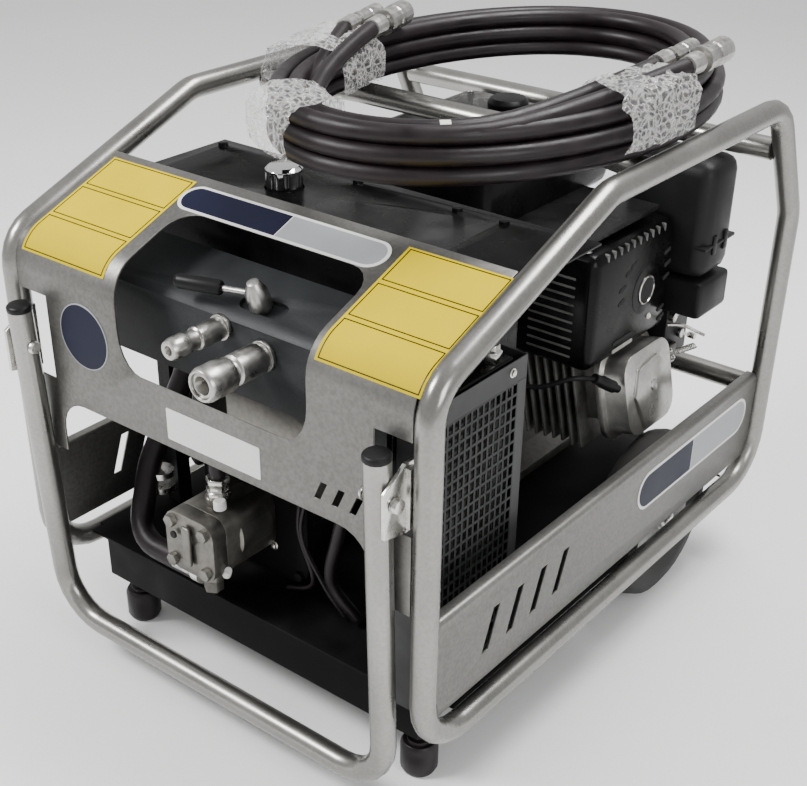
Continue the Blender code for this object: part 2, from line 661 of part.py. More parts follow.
def make_tank():
    tank = box("oil_tank", TANK_LOW, TANK_HIGH, BLACK_STEEL, bevel=0.006)
    x, y = TANK_CAP
    neck = rod(
        "neck_helper", (x, y, TANK_HIGH[2] - 0.01), (x, y, TANK_HIGH[2] + 0.006), 0.024, BLACK_STEEL, 24,
    )
    leg_low = TANK_LOW[2] + 0.004
    legs = []
    for sign in (-1, 1):
        foot = -0.285 if sign < 0 else 0.194
        start = (foot - 0.012, TANK_LOW[1] + 0.02, RAIL_Z + 0.0165 + GAP)
        legs.append(box("leg_helper", start, (foot + 0.012, TANK_LOW[1] + 0.045, leg_low), BLACK_STEEL))
    fuse(tank, neck, legs[0])
    for leg in legs[1:]:
        fuse(tank, leg)
    top = TANK_HIGH[2] + 0.006 + GAP
    cap = [(0, 0), (0, 0.0245), (0.022, 0.0245), (0.026, 0.020), (0.026, 0)]
    lid = turned("tank_cap", (x, y, top), Z, cap, ZINC, steps=28)
    flutes = []
    for k in range(9):
        t = 2 * math.pi * k / 9
        at = Vector((x + 0.0262 * math.cos(t), y + 0.0262 * math.sin(t), top - 0.005))
        flutes.append(rod("flute_cutter", at, at + Z * 0.024, 0.0040, ZINC, 8))
    cut(lid, *flutes)
    lid_low = (-0.306, TANK_LOW[1] - 0.004, TANK_HIGH[2] + GAP)
    lid_high = (0.312, TANK_HIGH[1] + 0.004, TANK_HIGH[2] + 0.0035)
    cover = box("tank_lid", lid_low, lid_high, BLACK_STEEL)
    bolts = []
    for bx in (-0.285, -0.040, 0.120, 0.190):
        for by in (TANK_LOW[1] + 0.022, TANK_HIGH[1] - 0.020):
            bolts.append(rod("bolt_helper", (bx, by, TANK_HIGH[2] + 0.0025),
                (bx, by, TANK_HIGH[2] + 0.009), 0.0075, ZINC, 6))
    fuse(cover, *bolts)
    cut(
        cover,
        rod(
            "neck_cutter", (x, y, TANK_HIGH[2] - 0.01), (x, y, TANK_HIGH[2] + 0.02), 0.0262,
            BLACK_STEEL, 24,
        ),
    )
    tie = box(
        "tie_helper", (-0.262, CONSOLE_Y + 0.085 + GAP, 0.500), (0.200, TANK_LOW[1] + 0.01, 0.506),
        BLACK_STEEL,
    )
    fuse(tank, tie)


GEAR_R, GEAR_TIP, GEAR_ROOT, GEAR_TEETH = 0.0142, 0.0158, 0.0122, 10


def gear(name, x, z, y0, y1, turn):
    outline = []
    for k in range(GEAR_TEETH):
        base = 2 * math.pi * (k + turn) / GEAR_TEETH
        for share, radius in (
            (-0.30, GEAR_ROOT), (-0.13, GEAR_TIP), (0.13, GEAR_TIP), (0.30, GEAR_ROOT),
        ):
            t = base + share * 2 * math.pi / GEAR_TEETH
            outline.append((radius * math.cos(t), radius * math.sin(t)))
    return prism(name, outline, ((x, y0, z), X, Z, Y), y1 - y0, GEAR_STEEL)


def make_pump():
    half = PUMP_W / 2
    cover_d, body_d = 0.024, 0.060
    body_y = PUMP_Y + cover_d + GAP
    flange_y = PLATE_Y - GAP
    cavity_end = body_y + 0.042
    below = 0.0290
    outline = rounded_rect((CRANK_X, CRANK_Z - 0.012), PUMP_W, PUMP_W, 0.020)
    cover = prism("pump_cover", outline, ((0, PUMP_Y, 0), X, Z, Y), cover_d, CAST)
    heads = []
    for sx in (-1, 1):
        for sz in (-1, 1):
            at = Vector((CRANK_X + sx * (half - 0.014), PUMP_Y, CRANK_Z - 0.012 + sz * (half - 0.014)))
            heads.append(rod("bolt_helper", at - Y * 0.008, at + Y * 0.004, 0.0090, ZINC, 6))
    fuse(cover, *heads)
    centre = (CRANK_X, CRANK_Z - 0.012)
    body = prism(
        "pump_body", rounded_rect(centre, PUMP_W, PUMP_W, 0.020), ((0, body_y, 0), X, Z, Y),
        flange_y - body_y, CAST,
    )
    port_at = (CRANK_X + 0.002, body_y + 0.023, CRANK_Z - 0.012 + half - 0.011)
    port_shape = [(0, 0), (0, 0.013), (0.023, 0.013), (0.025, 0.010), (0.037, 0.010), (0.037, 0)]
    port = turned("port_helper", port_at, Z, port_shape, ZINC, 22)
    fuse(body, port)
    pockets = [rod("gear_cutter", (CRANK_X, body_y - 0.01, CRANK_Z), (CRANK_X, cavity_end, CRANK_Z),
        GEAR_TIP + 0.0012, CAST, 32)]
    low = CRANK_Z - below
    pockets.append(rod("idler_cutter", (CRANK_X, body_y - 0.012, low),
        (CRANK_X, cavity_end + 0.0005, low), GEAR_TIP + 0.0012, CAST, 32))
    pockets.append(rod("shaft_cutter", (CRANK_X, cavity_end - 0.010, CRANK_Z),
        (CRANK_X, flange_y + 0.01, CRANK_Z), 0.0100, CAST, 24))
    cut(body, *pockets)

    gear_y0, gear_y1 = body_y + 0.002, cavity_end - 0.002
    drive = gear("pump_drive_gear", CRANK_X, CRANK_Z, gear_y0, gear_y1, 0.25)
    shaft = rod(
        "shaft_helper", (CRANK_X, gear_y1 - 0.001, CRANK_Z), (CRANK_X, PLATE_Y + 0.050, CRANK_Z),
        0.0090, GEAR_STEEL, 20,
    )
    fuse(drive, shaft)
    idler = gear("pump_idler_gear", CRANK_X, low, gear_y0, gear_y1, 0.25)
    stub = rod(
        "stub_helper", (CRANK_X, body_y + GAP, low), (CRANK_X, cavity_end - GAP, low), 0.0080,
        GEAR_STEEL, 20,
    )
    fuse(idler, stub)

    plate = prism(
        "mounting_plate", rounded_rect((CRANK_X + 0.006, CRANK_Z - 0.004), 0.190, 0.190, 0.030),
        ((0, PLATE_Y, 0), X, Z, Y), 0.012, BLACK_STEEL, holes=[circle((CRANK_X, CRANK_Z), 0.0110, 20)],
    )
    corner = [rod("bolt_helper", (CRANK_X + 0.006 + sx * 0.080, PLATE_Y - 0.006,
        CRANK_Z - 0.004 + sz * 0.080),
                  (CRANK_X + 0.006 + sx * 0.080, PLATE_Y + 0.002,
                      CRANK_Z - 0.004 + sz * 0.080), 0.0075, ZINC, 6)
              for sx in (-1, 1) for sz in (-1, 1)]
    fuse(plate, *corner)
    start = PLATE_Y + 0.012 + GAP
    end = start + BELL_LEN
    shell = [
        (0, 0.060), (0, 0.086), (0.012, 0.086), (0.014, 0.068), (0.120, 0.074),
        (BELL_LEN - 0.014, 0.088),
        (BELL_LEN - 0.012, 0.104), (BELL_LEN, 0.104), (BELL_LEN, 0.072), (0.120, 0.062), (0.012, 0.060),
    ]
    turned("bell_housing", (CRANK_X, start, CRANK_Z), Y, shell, CAST, steps=28, ring=True)

    hub_start = PLATE_Y + 0.050 + GAP
    crank = [
        (0, 0), (0, 0.028), (0.030, 0.028), (0.030, 0.036), (0.056, 0.036), (0.056, 0.028),
        (0.100, 0.028), (0.100, 0.013),
        (end - hub_start - 0.0004, 0.013), (end - hub_start - 0.0004, 0),
    ]
    turned("drive_coupling", (CRANK_X, hub_start, CRANK_Z), Y, crank, GEAR_STEEL, steps=18)


def make_hoses():
    """The suction hose from the tank to the pump, and the coiled twin delivery hoses on top."""
    tank_x = -0.235
    low_z = PUMP_W / 2 + 0.012
    inlet = Vector((CRANK_X, PUMP_Y + 0.024 + GAP + 0.022, CRANK_Z - 0.012 - PUMP_W / 2 - GAP))
    path = [
        Vector((tank_x, -0.224, TANK_LOW[2] - GAP)),
        Vector((tank_x, -0.224, 0.385)),
        Vector((tank_x - 0.010, -0.300, 0.260)),
        Vector((tank_x + 0.015, inlet.y, inlet.z - 0.034)),
        Vector((inlet.x, inlet.y, inlet.z - 0.034)),
        inlet,
    ]
    bends = [0, 0.05, 0.08, 0.05, 0.028, 0]
    swept("suction_hose", rounded_path(path, bends), 0.0165, RUBBER, steps=14)
    a, b = COIL_HALF
    tall = COIL_TALL
    wide = 4.1 * HOSE_R
    bm = bmesh.new()
    rows = []
    section = [
        (-wide, 0.004), (-wide + 0.006, 0.0), (wide - 0.006, 0.0), (wide, 0.004), (wide, tall * 0.6),
        (wide * 0.55, tall), (-wide * 0.55, tall), (-wide, tall * 0.6),
    ]
    for k in range(48):
        t = 2 * math.pi * k / 48
        normal = Vector((math.cos(t) / a, math.sin(t) / b, 0)).normalized()
        centre = Vector((COIL_CENTRE[0] + (a - wide) * math.cos(t),
            COIL_CENTRE[1] + (b - wide) * math.sin(t), COIL_Z))
        rows.append([bm.verts.new(centre + normal * u + Z * v) for u, v in section])
    for k in range(48):
        first, second = rows[k], rows[(k + 1) % 48]
        for i in range(len(section)):
            j = (i + 1) % len(section)
            bm.faces.new((first[i], first[j], second[j], second[i]))
    finish("hose_coil", bm, RUBBER, smooth=True)


def make_hose_couplings():
    top = COIL_Z + COIL_TALL + GAP
    rest = [
        ("hose_coupling_male_rear", (-0.125, -0.006), (-0.27, 0.96), 0.0125, 0.110),
        ("hose_coupling_female_rear", (-0.088, 0.004), (-0.27, 0.96), 0.0165, 0.112),
        ("hose_coupling_male_front", (0.278, 0.094), (-0.07, 1.0), 0.0125, 0.110),
        ("hose_coupling_female_front", (0.316, 0.100), (-0.07, 1.0), 0.0165, 0.112),
    ]
    for name, (x, y), (dx, dy), radius, length in rest:
        profile = [
            (0, 0), (0, HOSE_R + 0.0015), (0.030, HOSE_R + 0.0025), (0.032, 0.0095), (0.040, 0.0095),
            (0.040, radius), (0.052, radius),
            (0.054, radius * 0.92), (0.072, radius * 0.92), (0.074, radius), (length - 0.004, radius),
            (length, radius * 0.85),
            (length, radius * 0.5), (length - 0.016, radius * 0.45), (length - 0.016, 0),
        ]
        lift = max(radius, HOSE_R + 0.0025)
        turned(name, (x, y, top + lift), (dx, dy, 0), profile, ZINC, steps=16)


# ---------------------------------------------------------------- cooler
COOLER_X = 0.290             # inner face of the guard
COOLER_Y = (FRONT_Y + 0.036, FRONT_Y + 0.243)
COOLER_Z = (0.158, 0.552)


def make_cooler():
    y0, y1 = COOLER_Y
    z0, z1 = COOLER_Z
    guard = box("cooler_guard", (COOLER_X, y0, z0), (COOLER_X + 0.0025, y1, z1), BLACK_STEEL)
    back = box(
        "flange_helper", (COOLER_X - 0.045, y1 - 0.0025, z0), (COOLER_X + 0.002, y1, z1), BLACK_STEEL,
    )
    foot = box(
        "tab_helper", (COOLER_X - 0.045, y0 + 0.080, RAIL_Z + 0.0165 + GAP),
        (COOLER_X + 0.002, y1 - 0.001, z0 + 0.004), BLACK_STEEL,
    )
    fuse(guard, back, foot)
    core_x = COOLER_X - 0.004
    core = box(
        "cooler_core", (core_x - 0.036, y0 + 0.006, z0 + 0.020), (core_x, y1 - 0.003 - GAP, z1 - 0.012),
        BLACK_STEEL, bevel=0.003,
    )
    middle = ((y0 + y1) / 2, (z0 + z1) / 2)
    lug = box(
        "lug_helper", (core_x - 0.002, y1 - 0.05, z1 - 0.05), (COOLER_X - GAP, y1 - 0.03, z1 - 0.03),
        BLACK_STEEL,
    )
    pin = rod("pin_helper", (core_x - 0.034, *middle), (core_x - 0.052, *middle), 0.006, BLACK_STEEL)
    fuse(core, lug, pin)
    hub_x = core_x - 0.040
    profile = [
        (0.013, 0), (0.013, 0.0066), (0, 0.0066), (0, 0.030), (0.022, 0.030), (0.026, 0.024), (0.026, 0),
    ]
    fan = turned("cooler_fan", (hub_x, *middle), -X, profile, PLASTIC, steps=18)
    blades = []
    for k in range(7):
        t = 2 * math.pi * k / 7
        spoke = Vector((0, math.cos(t), math.sin(t)))
        across = X.cross(spoke)
        chord = (across * 0.022 + X * 0.008)
        bm = bmesh.new()
        base = Vector((hub_x - 0.012, *middle))
        quad = []
        for radius, scale in ((0.026, 0.75), (0.092, 1.15)):
            for side in (-1, 1):
                quad.append(base + spoke * radius + chord * side * scale)
        thick = chord.cross(spoke).normalized() * 0.0012
        low = [bm.verts.new(q - thick) for q in quad]
        high = [bm.verts.new(q + thick) for q in quad]
        order = (0, 1, 3, 2)
        bm.faces.new([low[i] for i in order])
        bm.faces.new([high[i] for i in reversed(order)])
        for i in range(4):
            a, b = order[i], order[(i + 1) % 4]
            bm.faces.new((low[a], high[a], high[b], low[b]))
        blades.append(finish("blade_helper", bm, PLASTIC))
    fuse(fan, *blades)


# ---------------------------------------------------------------- engine
BLOCK_Y = (PLATE_Y + 0.012 + BELL_LEN + 2 * GAP, 0.322)
CYL_Y = 0.242
TILT = math.radians(12)


def make_engine():
    floor = RAIL_Z + 0.0165 + GAP
    y0, y1 = BLOCK_Y
    block = [
        (CRANK_X - 0.150, floor), (CRANK_X + 0.150, floor), (CRANK_X + 0.150, floor + 0.016), (
            CRANK_X + 0.118, floor + 0.030,
        ),
        (CRANK_X + 0.118, CRANK_Z + 0.090), (CRANK_X + 0.060, CRANK_Z + 0.135), (
            CRANK_X - 0.070, CRANK_Z + 0.135,
        ),
        (CRANK_X - 0.118, CRANK_Z + 0.080), (CRANK_X - 0.118, floor + 0.030), (
            CRANK_X - 0.150, floor + 0.016,
        ),
    ]
    case = prism("crankcase", block, ((0, y0 + 0.02, 0), X, Z, Y), y1 - y0 - 0.02, CAST)
    boss = rod("boss_helper", (CRANK_X, y0, CRANK_Z), (CRANK_X, y0 + 0.03, CRANK_Z), 0.100, CAST, 36)
    fuse(case, boss)

    axis = Vector((math.cos(TILT), 0, math.sin(TILT)))
    up = Vector((-math.sin(TILT), 0, math.cos(TILT)))
    start = Vector((CRANK_X + 0.118 + GAP * 2, CYL_Y, 0.300))
    barrel = box(
        "cylinder", (start.x, CYL_Y - 0.050, 0.262), (start.x + 0.02, CYL_Y + 0.050, 0.330), CAST,
    )
    fins = []
    reach = 0.142
    core_low, core_high = start - up * 0.050, start + up * 0.050
    core = [(0, -0.048), (reach, -0.048), (reach, 0.050), (0, 0.050)]
    lean = [((start + axis * u + up * v).x, (start + axis * u + up * v).z) for u, v in core]
    base = CRANK_X + 0.118 + GAP
    lean[0] = (base, lean[0][1])
    lean[3] = (base, lean[3][1])
    fins.append(prism("core_helper", lean, ((0, CYL_Y - 0.055, 0), X, Z, Y), 0.110, CAST))
    for k in range(7):
        u = 0.018 + 0.0155 * k
        grow = 0.010 * k / 6
        low, high = -0.072 - grow, 0.066
        if k >= 5:
            low, high = low - 0.004, 0.056
        fin = [(u, low), (u + 0.0042, low), (u + 0.0042, high), (u, high)]
        tilted = [((start + axis * a + up * b).x, (start + axis * a + up * b).z) for a, b in fin]
        fins.append(prism("fin_helper", tilted, ((0, CYL_Y - 0.082, 0), X, Z, Y), 0.164, CAST))
    fuse(barrel, *fins)

    cover_u = 0.142 + GAP
    face = rounded_rect((0, 0), 0.150, 0.142, 0.034, pieces=5)
    origin = start + axis * cover_u - up * 0.012
    origin.y = CYL_Y + 0.004
    cover = prism("rocker_cover", face, (origin, Y, up, axis), 0.010, CAST)
    dome = prism(
        "dome_helper", rounded_rect((0, 0), 0.132, 0.124, 0.030, pieces=5), (origin, Y, up, axis),
        0.046, CAST,
    )
    nut_at = origin + Y * 0.003 + up * 0.002
    nut = rod("bolt_helper", nut_at + axis * 0.030, nut_at + axis * 0.053, 0.009, ZINC, 6)
    fuse(dome, nut)
    fuse(cover, dome)

    box("muffler_guard", (0.086, 0.098, 0.3925), (0.222, 0.320, 0.566), BLACK_STEEL, bevel=0.008)
    clean_low, clean_high = (0.128, 0.3205, 0.470), (0.268, 0.412, 0.645)
    box("air_cleaner_cover", clean_low, clean_high, PLASTIC, bevel=0.022, segments=3)
    base = box(
        "air_cleaner_base", (clean_low[0] - 0.004, clean_low[1], 0.412),
        (clean_high[0] + 0.004, clean_high[1], clean_low[2] - GAP), PLASTIC, bevel=0.008,
    )
    carb = box("carb_helper", (0.140, 0.327, 0.330), (0.220, 0.398, 0.420), CAST)
    web = box("web_helper", (0.110, CYL_Y + 0.0826, 0.318), (0.160, 0.345, 0.350), CAST)
    fuse(base, carb, web)

    tank_low, tank_high = (-0.190, 0.040, 0.568), (0.078, 0.373, 0.668)
    fuel = box("fuel_tank", tank_low, tank_high, BLACK_STEEL, bevel=0.022, segments=3)
    stay = box(
        "stay_helper", (-0.100, 0.120, CRANK_Z + 0.135 + GAP), (-0.030, 0.300, tank_low[2] + 0.01),
        BLACK_STEEL,
    )
    bridge = box("bridge_helper", (0.060, 0.100, 0.575), (0.200, 0.300, 0.5815), BLACK_STEEL)
    leg = box("bridge_leg", (0.150, 0.150, 0.5663), (0.160, 0.250, 0.578), BLACK_STEEL)
    neck = rod(
        "neck_helper", (-0.060, 0.290, tank_high[2] - 0.01), (-0.060, 0.290, tank_high[2] + 0.003),
        0.022, BLACK_STEEL, 24,
    )
    fuse(fuel, stay, bridge, leg, neck)
    cap_z = tank_high[2] + 0.003 + GAP
    turned(
        "fuel_cap", (-0.060, 0.290, cap_z), Z,
        [(0, 0), (0, 0.030), (0.012, 0.031), (0.018, 0.026), (0.018, 0)], PLASTIC, steps=28,
    )

    back = y1 + GAP
    drum = [
        (0, 0), (0, 0.114), (0.030, 0.114), (0.052, 0.100), (0.066, 0.085), (0.072, 0.060), (0.072, 0),
    ]
    recoil = turned("recoil_cover", (CRANK_X, back, CRANK_Z), Y, drum, BLACK_STEEL, steps=30)
    seat = box(
        "seat_helper", (CRANK_X - 0.128, back + 0.006, CRANK_Z + 0.020),
        (CRANK_X - 0.080, back + 0.050, CRANK_Z + 0.080), BLACK_STEEL,
    )
    fuse(recoil, seat)
    at = (CRANK_X - 0.128 - GAP, back + 0.028, CRANK_Z + 0.050)
    turned(
        "starter_grip", at, -X,
        [(0, 0), (0, 0.006), (0.010, 0.008), (0.012, 0.013), (0.026, 0.013), (0.028, 0)], PLASTIC,
        steps=16,
    )

    face_x = 0.220 + GAP
    for name, y, z, tilt in (("throttle_lever", 0.342, 0.398, 4), ("choke_lever", 0.372, 0.362, -25)):
        hub = turned(
            name, (face_x, y, z), X, [(0, 0), (0, 0.007), (0.006, 0.007), (0.006, 0)], ZINC, steps=16,
        )
        t = math.radians(tilt)
        spoke = Vector((0, math.cos(t), math.sin(t)))
        arm = rod(
            "arm_helper", Vector((face_x + 0.003, y, z)),
            Vector((face_x + 0.003, y, z)) + spoke * 0.040, 0.0027, ZINC, 8,
        )
        knob = rod(
            "knob_helper", Vector((face_x + 0.001, y, z)) + spoke * 0.038,
            Vector((face_x + 0.012, y, z)) + spoke * 0.038, 0.005, ZINC, 10,
        )
        fuse(hub, arm, knob)


def hang(at, *names):
    """Puts an empty on a joint's axis and hangs the pieces that move with it from there."""
    pivot = bpy.data.objects.new("axis_" + names[0], None)
    bpy.context.scene.collection.objects.link(pivot)
    pivot.location = at
    for name in names:
        piece = bpy.data.objects[name]
        piece.parent = pivot
        piece.matrix_parent_inverse = Matrix.Translation(-Vector(at))


def make_axes():
    cooler_middle = (sum(COOLER_Y) / 2, sum(COOLER_Z) / 2)
    hang((0, FRONT_Y - PIVOT_SET, PIVOT_Z), "lift_handle", "handle_cap_left", "handle_cap_right")
    hang((-WHEEL_X, WHEEL_Y, WHEEL_R), "tyre_left", "rim_left")
    hang((WHEEL_X, WHEEL_Y, WHEEL_R), "tyre_right", "rim_right")
    hang(LEVER_BASE, "control_lever", "lever_grip")
    hang((0.055, -0.440, 0.548), "coupling_sleeve")
    hang((CRANK_X, PLATE_Y, CRANK_Z), "drive_coupling", "pump_drive_gear")
    hang((CRANK_X, -0.350, 0.233), "pump_idler_gear")
    hang((COOLER_X - 0.050, *cooler_middle), "cooler_fan")
    hang((0.2203, 0.342, 0.398), "throttle_lever")
    hang((0.2203, 0.372, 0.362), "choke_lever")
    hang((-0.060, 0.290, 0.680), "fuel_cap")
    hang((-0.105, -0.150, 0.670), "tank_cap")


make_frame()
make_front_panel()
make_side_panels()
make_handle()
make_running_gear()
make_tray()
make_console()
make_tank()
make_pump()
make_hoses()
make_hose_couplings()
make_cooler()
make_engine()
make_axes()
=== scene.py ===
"""Portable hydraulic power unit: the finished look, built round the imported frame."""

import json
import math

import bpy
from bpy.props import FloatProperty, FloatVectorProperty
from mathutils import Matrix, Vector, noise

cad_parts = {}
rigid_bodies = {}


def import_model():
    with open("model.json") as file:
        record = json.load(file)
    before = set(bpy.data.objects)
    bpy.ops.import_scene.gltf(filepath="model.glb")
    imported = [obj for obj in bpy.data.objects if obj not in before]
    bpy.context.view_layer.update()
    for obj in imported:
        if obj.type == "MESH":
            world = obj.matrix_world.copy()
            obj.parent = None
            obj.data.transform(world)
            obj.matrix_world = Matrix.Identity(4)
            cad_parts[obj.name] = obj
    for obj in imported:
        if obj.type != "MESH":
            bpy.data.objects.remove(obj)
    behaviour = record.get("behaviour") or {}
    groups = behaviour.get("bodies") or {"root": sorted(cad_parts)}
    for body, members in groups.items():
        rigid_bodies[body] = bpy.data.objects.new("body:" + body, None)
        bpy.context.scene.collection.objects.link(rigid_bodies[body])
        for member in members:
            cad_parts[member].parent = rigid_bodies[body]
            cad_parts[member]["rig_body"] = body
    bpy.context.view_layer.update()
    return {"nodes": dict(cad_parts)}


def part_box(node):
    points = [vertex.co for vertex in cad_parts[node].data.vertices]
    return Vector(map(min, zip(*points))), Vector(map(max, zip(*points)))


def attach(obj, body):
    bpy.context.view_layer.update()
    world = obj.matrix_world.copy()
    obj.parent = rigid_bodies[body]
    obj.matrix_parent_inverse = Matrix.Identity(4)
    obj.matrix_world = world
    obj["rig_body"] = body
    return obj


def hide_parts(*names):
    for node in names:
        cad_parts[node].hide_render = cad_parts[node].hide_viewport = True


bl_info = {
    "name": "Hydraulic power unit",
    "version": (1, 0, 0),
    "blender": (4, 5, 0),
    "location": "View3D > Sidebar > Power unit",
    "description": "Builds the panels, hoses, engine and finishes of a portable hydraulic power unit",
    "category": "Add Mesh",
}

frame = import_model()
NODES = frame["nodes"]
X, Y, Z = Vector((1, 0, 0)), Vector((0, 1, 0)), Vector((0, 0, 1))

# The front panel's slope runs back and up from the shoulder.
FRONT_Y = -0.413
SLOPE = math.atan2(0.123, 0.324)
ALONG = Vector((0, math.cos(SLOPE), math.sin(SLOPE)))
OUT = Vector((0, -math.sin(SLOPE), math.cos(SLOPE)))
CRANK = Vector((-0.060, 0.0, 0.262))
RAIL_TOP = 0.1468
MERGE = 0.00001
FILM_AND_PLATE = 0.0004

CAMERA_PLACE = (1.044, -1.3675, 1.236)
CAMERA_AZIMUTH, CAMERA_ELEVATION, CAMERA_ROLL = 38.2, 31.0, 0.66
CAMERA_SHIFT = (0.0071, 0.0959)
FLOOR_SIZE = 14.0
SKY_STRENGTH = 0.72


# ------------------------ tools
def clear_selection():
    bpy.ops.object.select_all(action="DESELECT")


def only(obj):
    """Selects one object and nothing else."""
    clear_selection()
    obj.hide_set(False)
    obj.select_set(True)
    bpy.context.view_layer.objects.active = obj


def placed(name, data):
    """A new object in the scene for a mesh, curve, lamp or camera."""
    obj = bpy.data.objects.new(name, data)
    bpy.context.scene.collection.objects.link(obj)
    return obj


def settle(obj, name):
    """Names the object and puts its place into its mesh."""
    only(obj)
    obj.name = name
    obj.data.name = name
    bpy.ops.object.transform_apply(location=True, rotation=True, scale=True)
    return obj


def edit(select="SELECT"):
    """Enters edit mode with every vertex selected, or none."""
    bpy.ops.object.mode_set(mode="EDIT")
    bpy.ops.mesh.select_mode(type="VERT")
    bpy.ops.mesh.select_all(action=select)


def leave():
    bpy.ops.object.mode_set(mode="OBJECT")


def outward(obj):
    """Merges doubled points and turns every face outwards."""
    only(obj)
    edit()
    bpy.ops.mesh.remove_doubles(threshold=MERGE)
    bpy.ops.mesh.normals_make_consistent(inside=False)
    leave()
    return obj


def walled(obj, thickness, offset=-1.0):
    """Gives a sheet its thickness."""
    only(obj)
    mod = obj.modifiers.new("wall", "SOLIDIFY")
    mod.thickness = thickness
    mod.offset = offset
    bpy.ops.object.modifier_apply(modifier=mod.name)
    return outward(obj)


def soften(obj, width, segments=2, limit=30):
    """Rounds the sharp edges."""
    only(obj)
    mod = obj.modifiers.new("edge", "BEVEL")
    mod.width = width
    mod.segments = segments
    mod.limit_method = "ANGLE"
    mod.angle_limit = math.radians(limit)
    mod.use_clamp_overlap = True
    bpy.ops.object.modifier_apply(modifier=mod.name)
    return obj


def coat(obj, finish):
    obj.data.materials.clear()
    obj.data.materials.append(MATS[finish])


def finish_piece(obj, finish, degrees=35, stands_for=(), body="chassis"):
    """Smooths a piece, coats it and puts it on its body."""
    only(obj)
    bpy.ops.object.shade_smooth_by_angle(angle=math.radians(degrees))
    coat(obj, finish)
    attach(obj, body)
    if stands_for:
        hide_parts(*stands_for)
    return obj


def refined(node, finish, edge):
    """A merged, edge-softened copy of a CAD node that stands for it."""
    obj = placed(node + "_finished", NODES[node].data.copy())
    only(obj)
    edit()
    bpy.ops.mesh.remove_doubles(threshold=MERGE)
    bpy.ops.mesh.dissolve_limited(angle_limit=math.radians(0.6))
    leave()
    if edge:
        soften(obj, edge)
    return finish_piece(obj, finish, 40, (node,), NODES[node]["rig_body"])


def boxed(name, low, high, edge=0.0, segments=2):
    """A cube set to its two corners."""
    low, high = Vector(low), Vector(high)
    clear_selection()
    bpy.ops.mesh.primitive_cube_add(size=1.0, location=(low + high) / 2)
    obj = bpy.context.object
    obj.scale = high - low
    settle(obj, name)
    return soften(obj, edge, segments) if edge else obj


def turned(name, origin, direction, profile, sides=32):
    """A lathe solid: a circle extruded and resized along its axis through (distance, radius)."""
    axis = Vector(direction).normalized()
    origin = Vector(origin)
    turn = axis.to_track_quat("Z", "Y").to_euler()
    start, radius = profile[0]
    clear_selection()
    bpy.ops.mesh.primitive_circle_add(
        vertices=sides, radius=radius, fill_type="NGON", location=origin + axis * start, rotation=turn)
    obj = settle(bpy.context.object, name)
    edit()
    for (before, old), (after, new) in zip(profile, profile[1:]):
        step = axis * (after - before)
        bpy.ops.mesh.extrude_region_move(TRANSFORM_OT_translate={"value": step})
        if abs(new - old) > 1e-9:
            share = new / old
            centre = origin + axis * after
            bpy.ops.transform.resize(value=(share, share, share), center_override=centre)
    leave()
    return outward(obj)


def joined(name, parts):
    """Several meshes made into one."""
    clear_selection()
    for part in parts:
        part.select_set(True)
    bpy.context.view_layer.objects.active = parts[0]
    bpy.ops.object.join()
    obj = bpy.context.object
    obj.name = name
    obj.data.name = name
    return obj


def repeated(name, first, count, step):
    """A row of copies of a pattern piece, joined into one. The pattern piece goes."""
    copies = []
    for k in range(count):
        copy = placed("%s_%d" % (first.name, k), first.data.copy())
        copy.data.transform(Matrix.Translation(step * k))
        copies.append(copy)
    bpy.data.objects.remove(first)
    return joined(name, copies)


def tube(name, points, radius, finish, sides=4, keep_curve=False):
    """A round hose or wire along smooth points."""
    curve = bpy.data.curves.new(name, "CURVE")
    curve.dimensions = "3D"
    spline = curve.splines.new("POLY")
    spline.points.add(len(points) - 1)
    for slot, point in zip(spline.points, points):
        slot.co = (*point, 1)
    spline.use_smooth = True
    curve.bevel_depth = radius
    curve.bevel_resolution = sides
    curve.use_fill_caps = True
    obj = placed(name, curve)
    if keep_curve:
        curve.materials.append(MATS[finish])
        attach(obj, "chassis")
        return obj
    only(obj)
    bpy.ops.object.convert(target="MESH")
    return finish_piece(bpy.context.object, finish, 50)


def smooth_run(points, pieces=8):
    """Points on a smooth curve through the given ones."""
    pts = [Vector(p) for p in points]
    pts = [pts[0] * 2 - pts[1]] + pts + [pts[-1] * 2 - pts[-2]]
    run = []
    for i in range(1, len(pts) - 2):
        p0, p1, p2, p3 = pts[i - 1:i + 3]
        for k in range(pieces):
            t = k / pieces
            a = (2 * p1) + (p2 - p0) * t
            b = (2 * p0 - 5 * p1 + 4 * p2 - p3) * t * t
            c = (3 * p1 - p0 - 3 * p2 + p3) * t ** 3
            run.append((a + b + c) / 2)
    run.append(pts[-2])
    return run


def hex_bolt(name, at, direction, size=0.008):
    """A six-sided head on a washer, with a chamfered top."""
    tall = size * 0.75
    washer = [(0, size * 1.35), (size * 0.16, size * 1.35), (size * 0.2, size * 1.25)]
    head = [(0, size), (tall * 0.85, size), (tall, size * 0.85)]
    obj = joined(name, [turned(name, at, direction, washer, 20), turned(name, at, direction, head, 6)])
    return finish_piece(soften(obj, size * 0.05, 1), "bright_zinc", 30)


# ------------------------ finishes
MATS = {}
GROUPS = {}


def fill(tree, node, **values):
    """Links or sets each named socket of a node, an underscore standing for a space."""
    for label, value in values.items():
        feed(tree, value, node.inputs[label.replace("_", " ")])
    return node


def feed(tree, value, socket):
    if hasattr(value, "links"):
        tree.links.new(value, socket)
    else:
        socket.default_value = value


def add(tree, kind, **values):
    return fill(tree, tree.nodes.new("ShaderNode" + kind), **values)


def times(tree, a, b, operation="MULTIPLY"):
    node = add(tree, "Math")
    node.operation = operation
    feed(tree, a, node.inputs[0])
    feed(tree, b, node.inputs[1])
    return node.outputs[0]


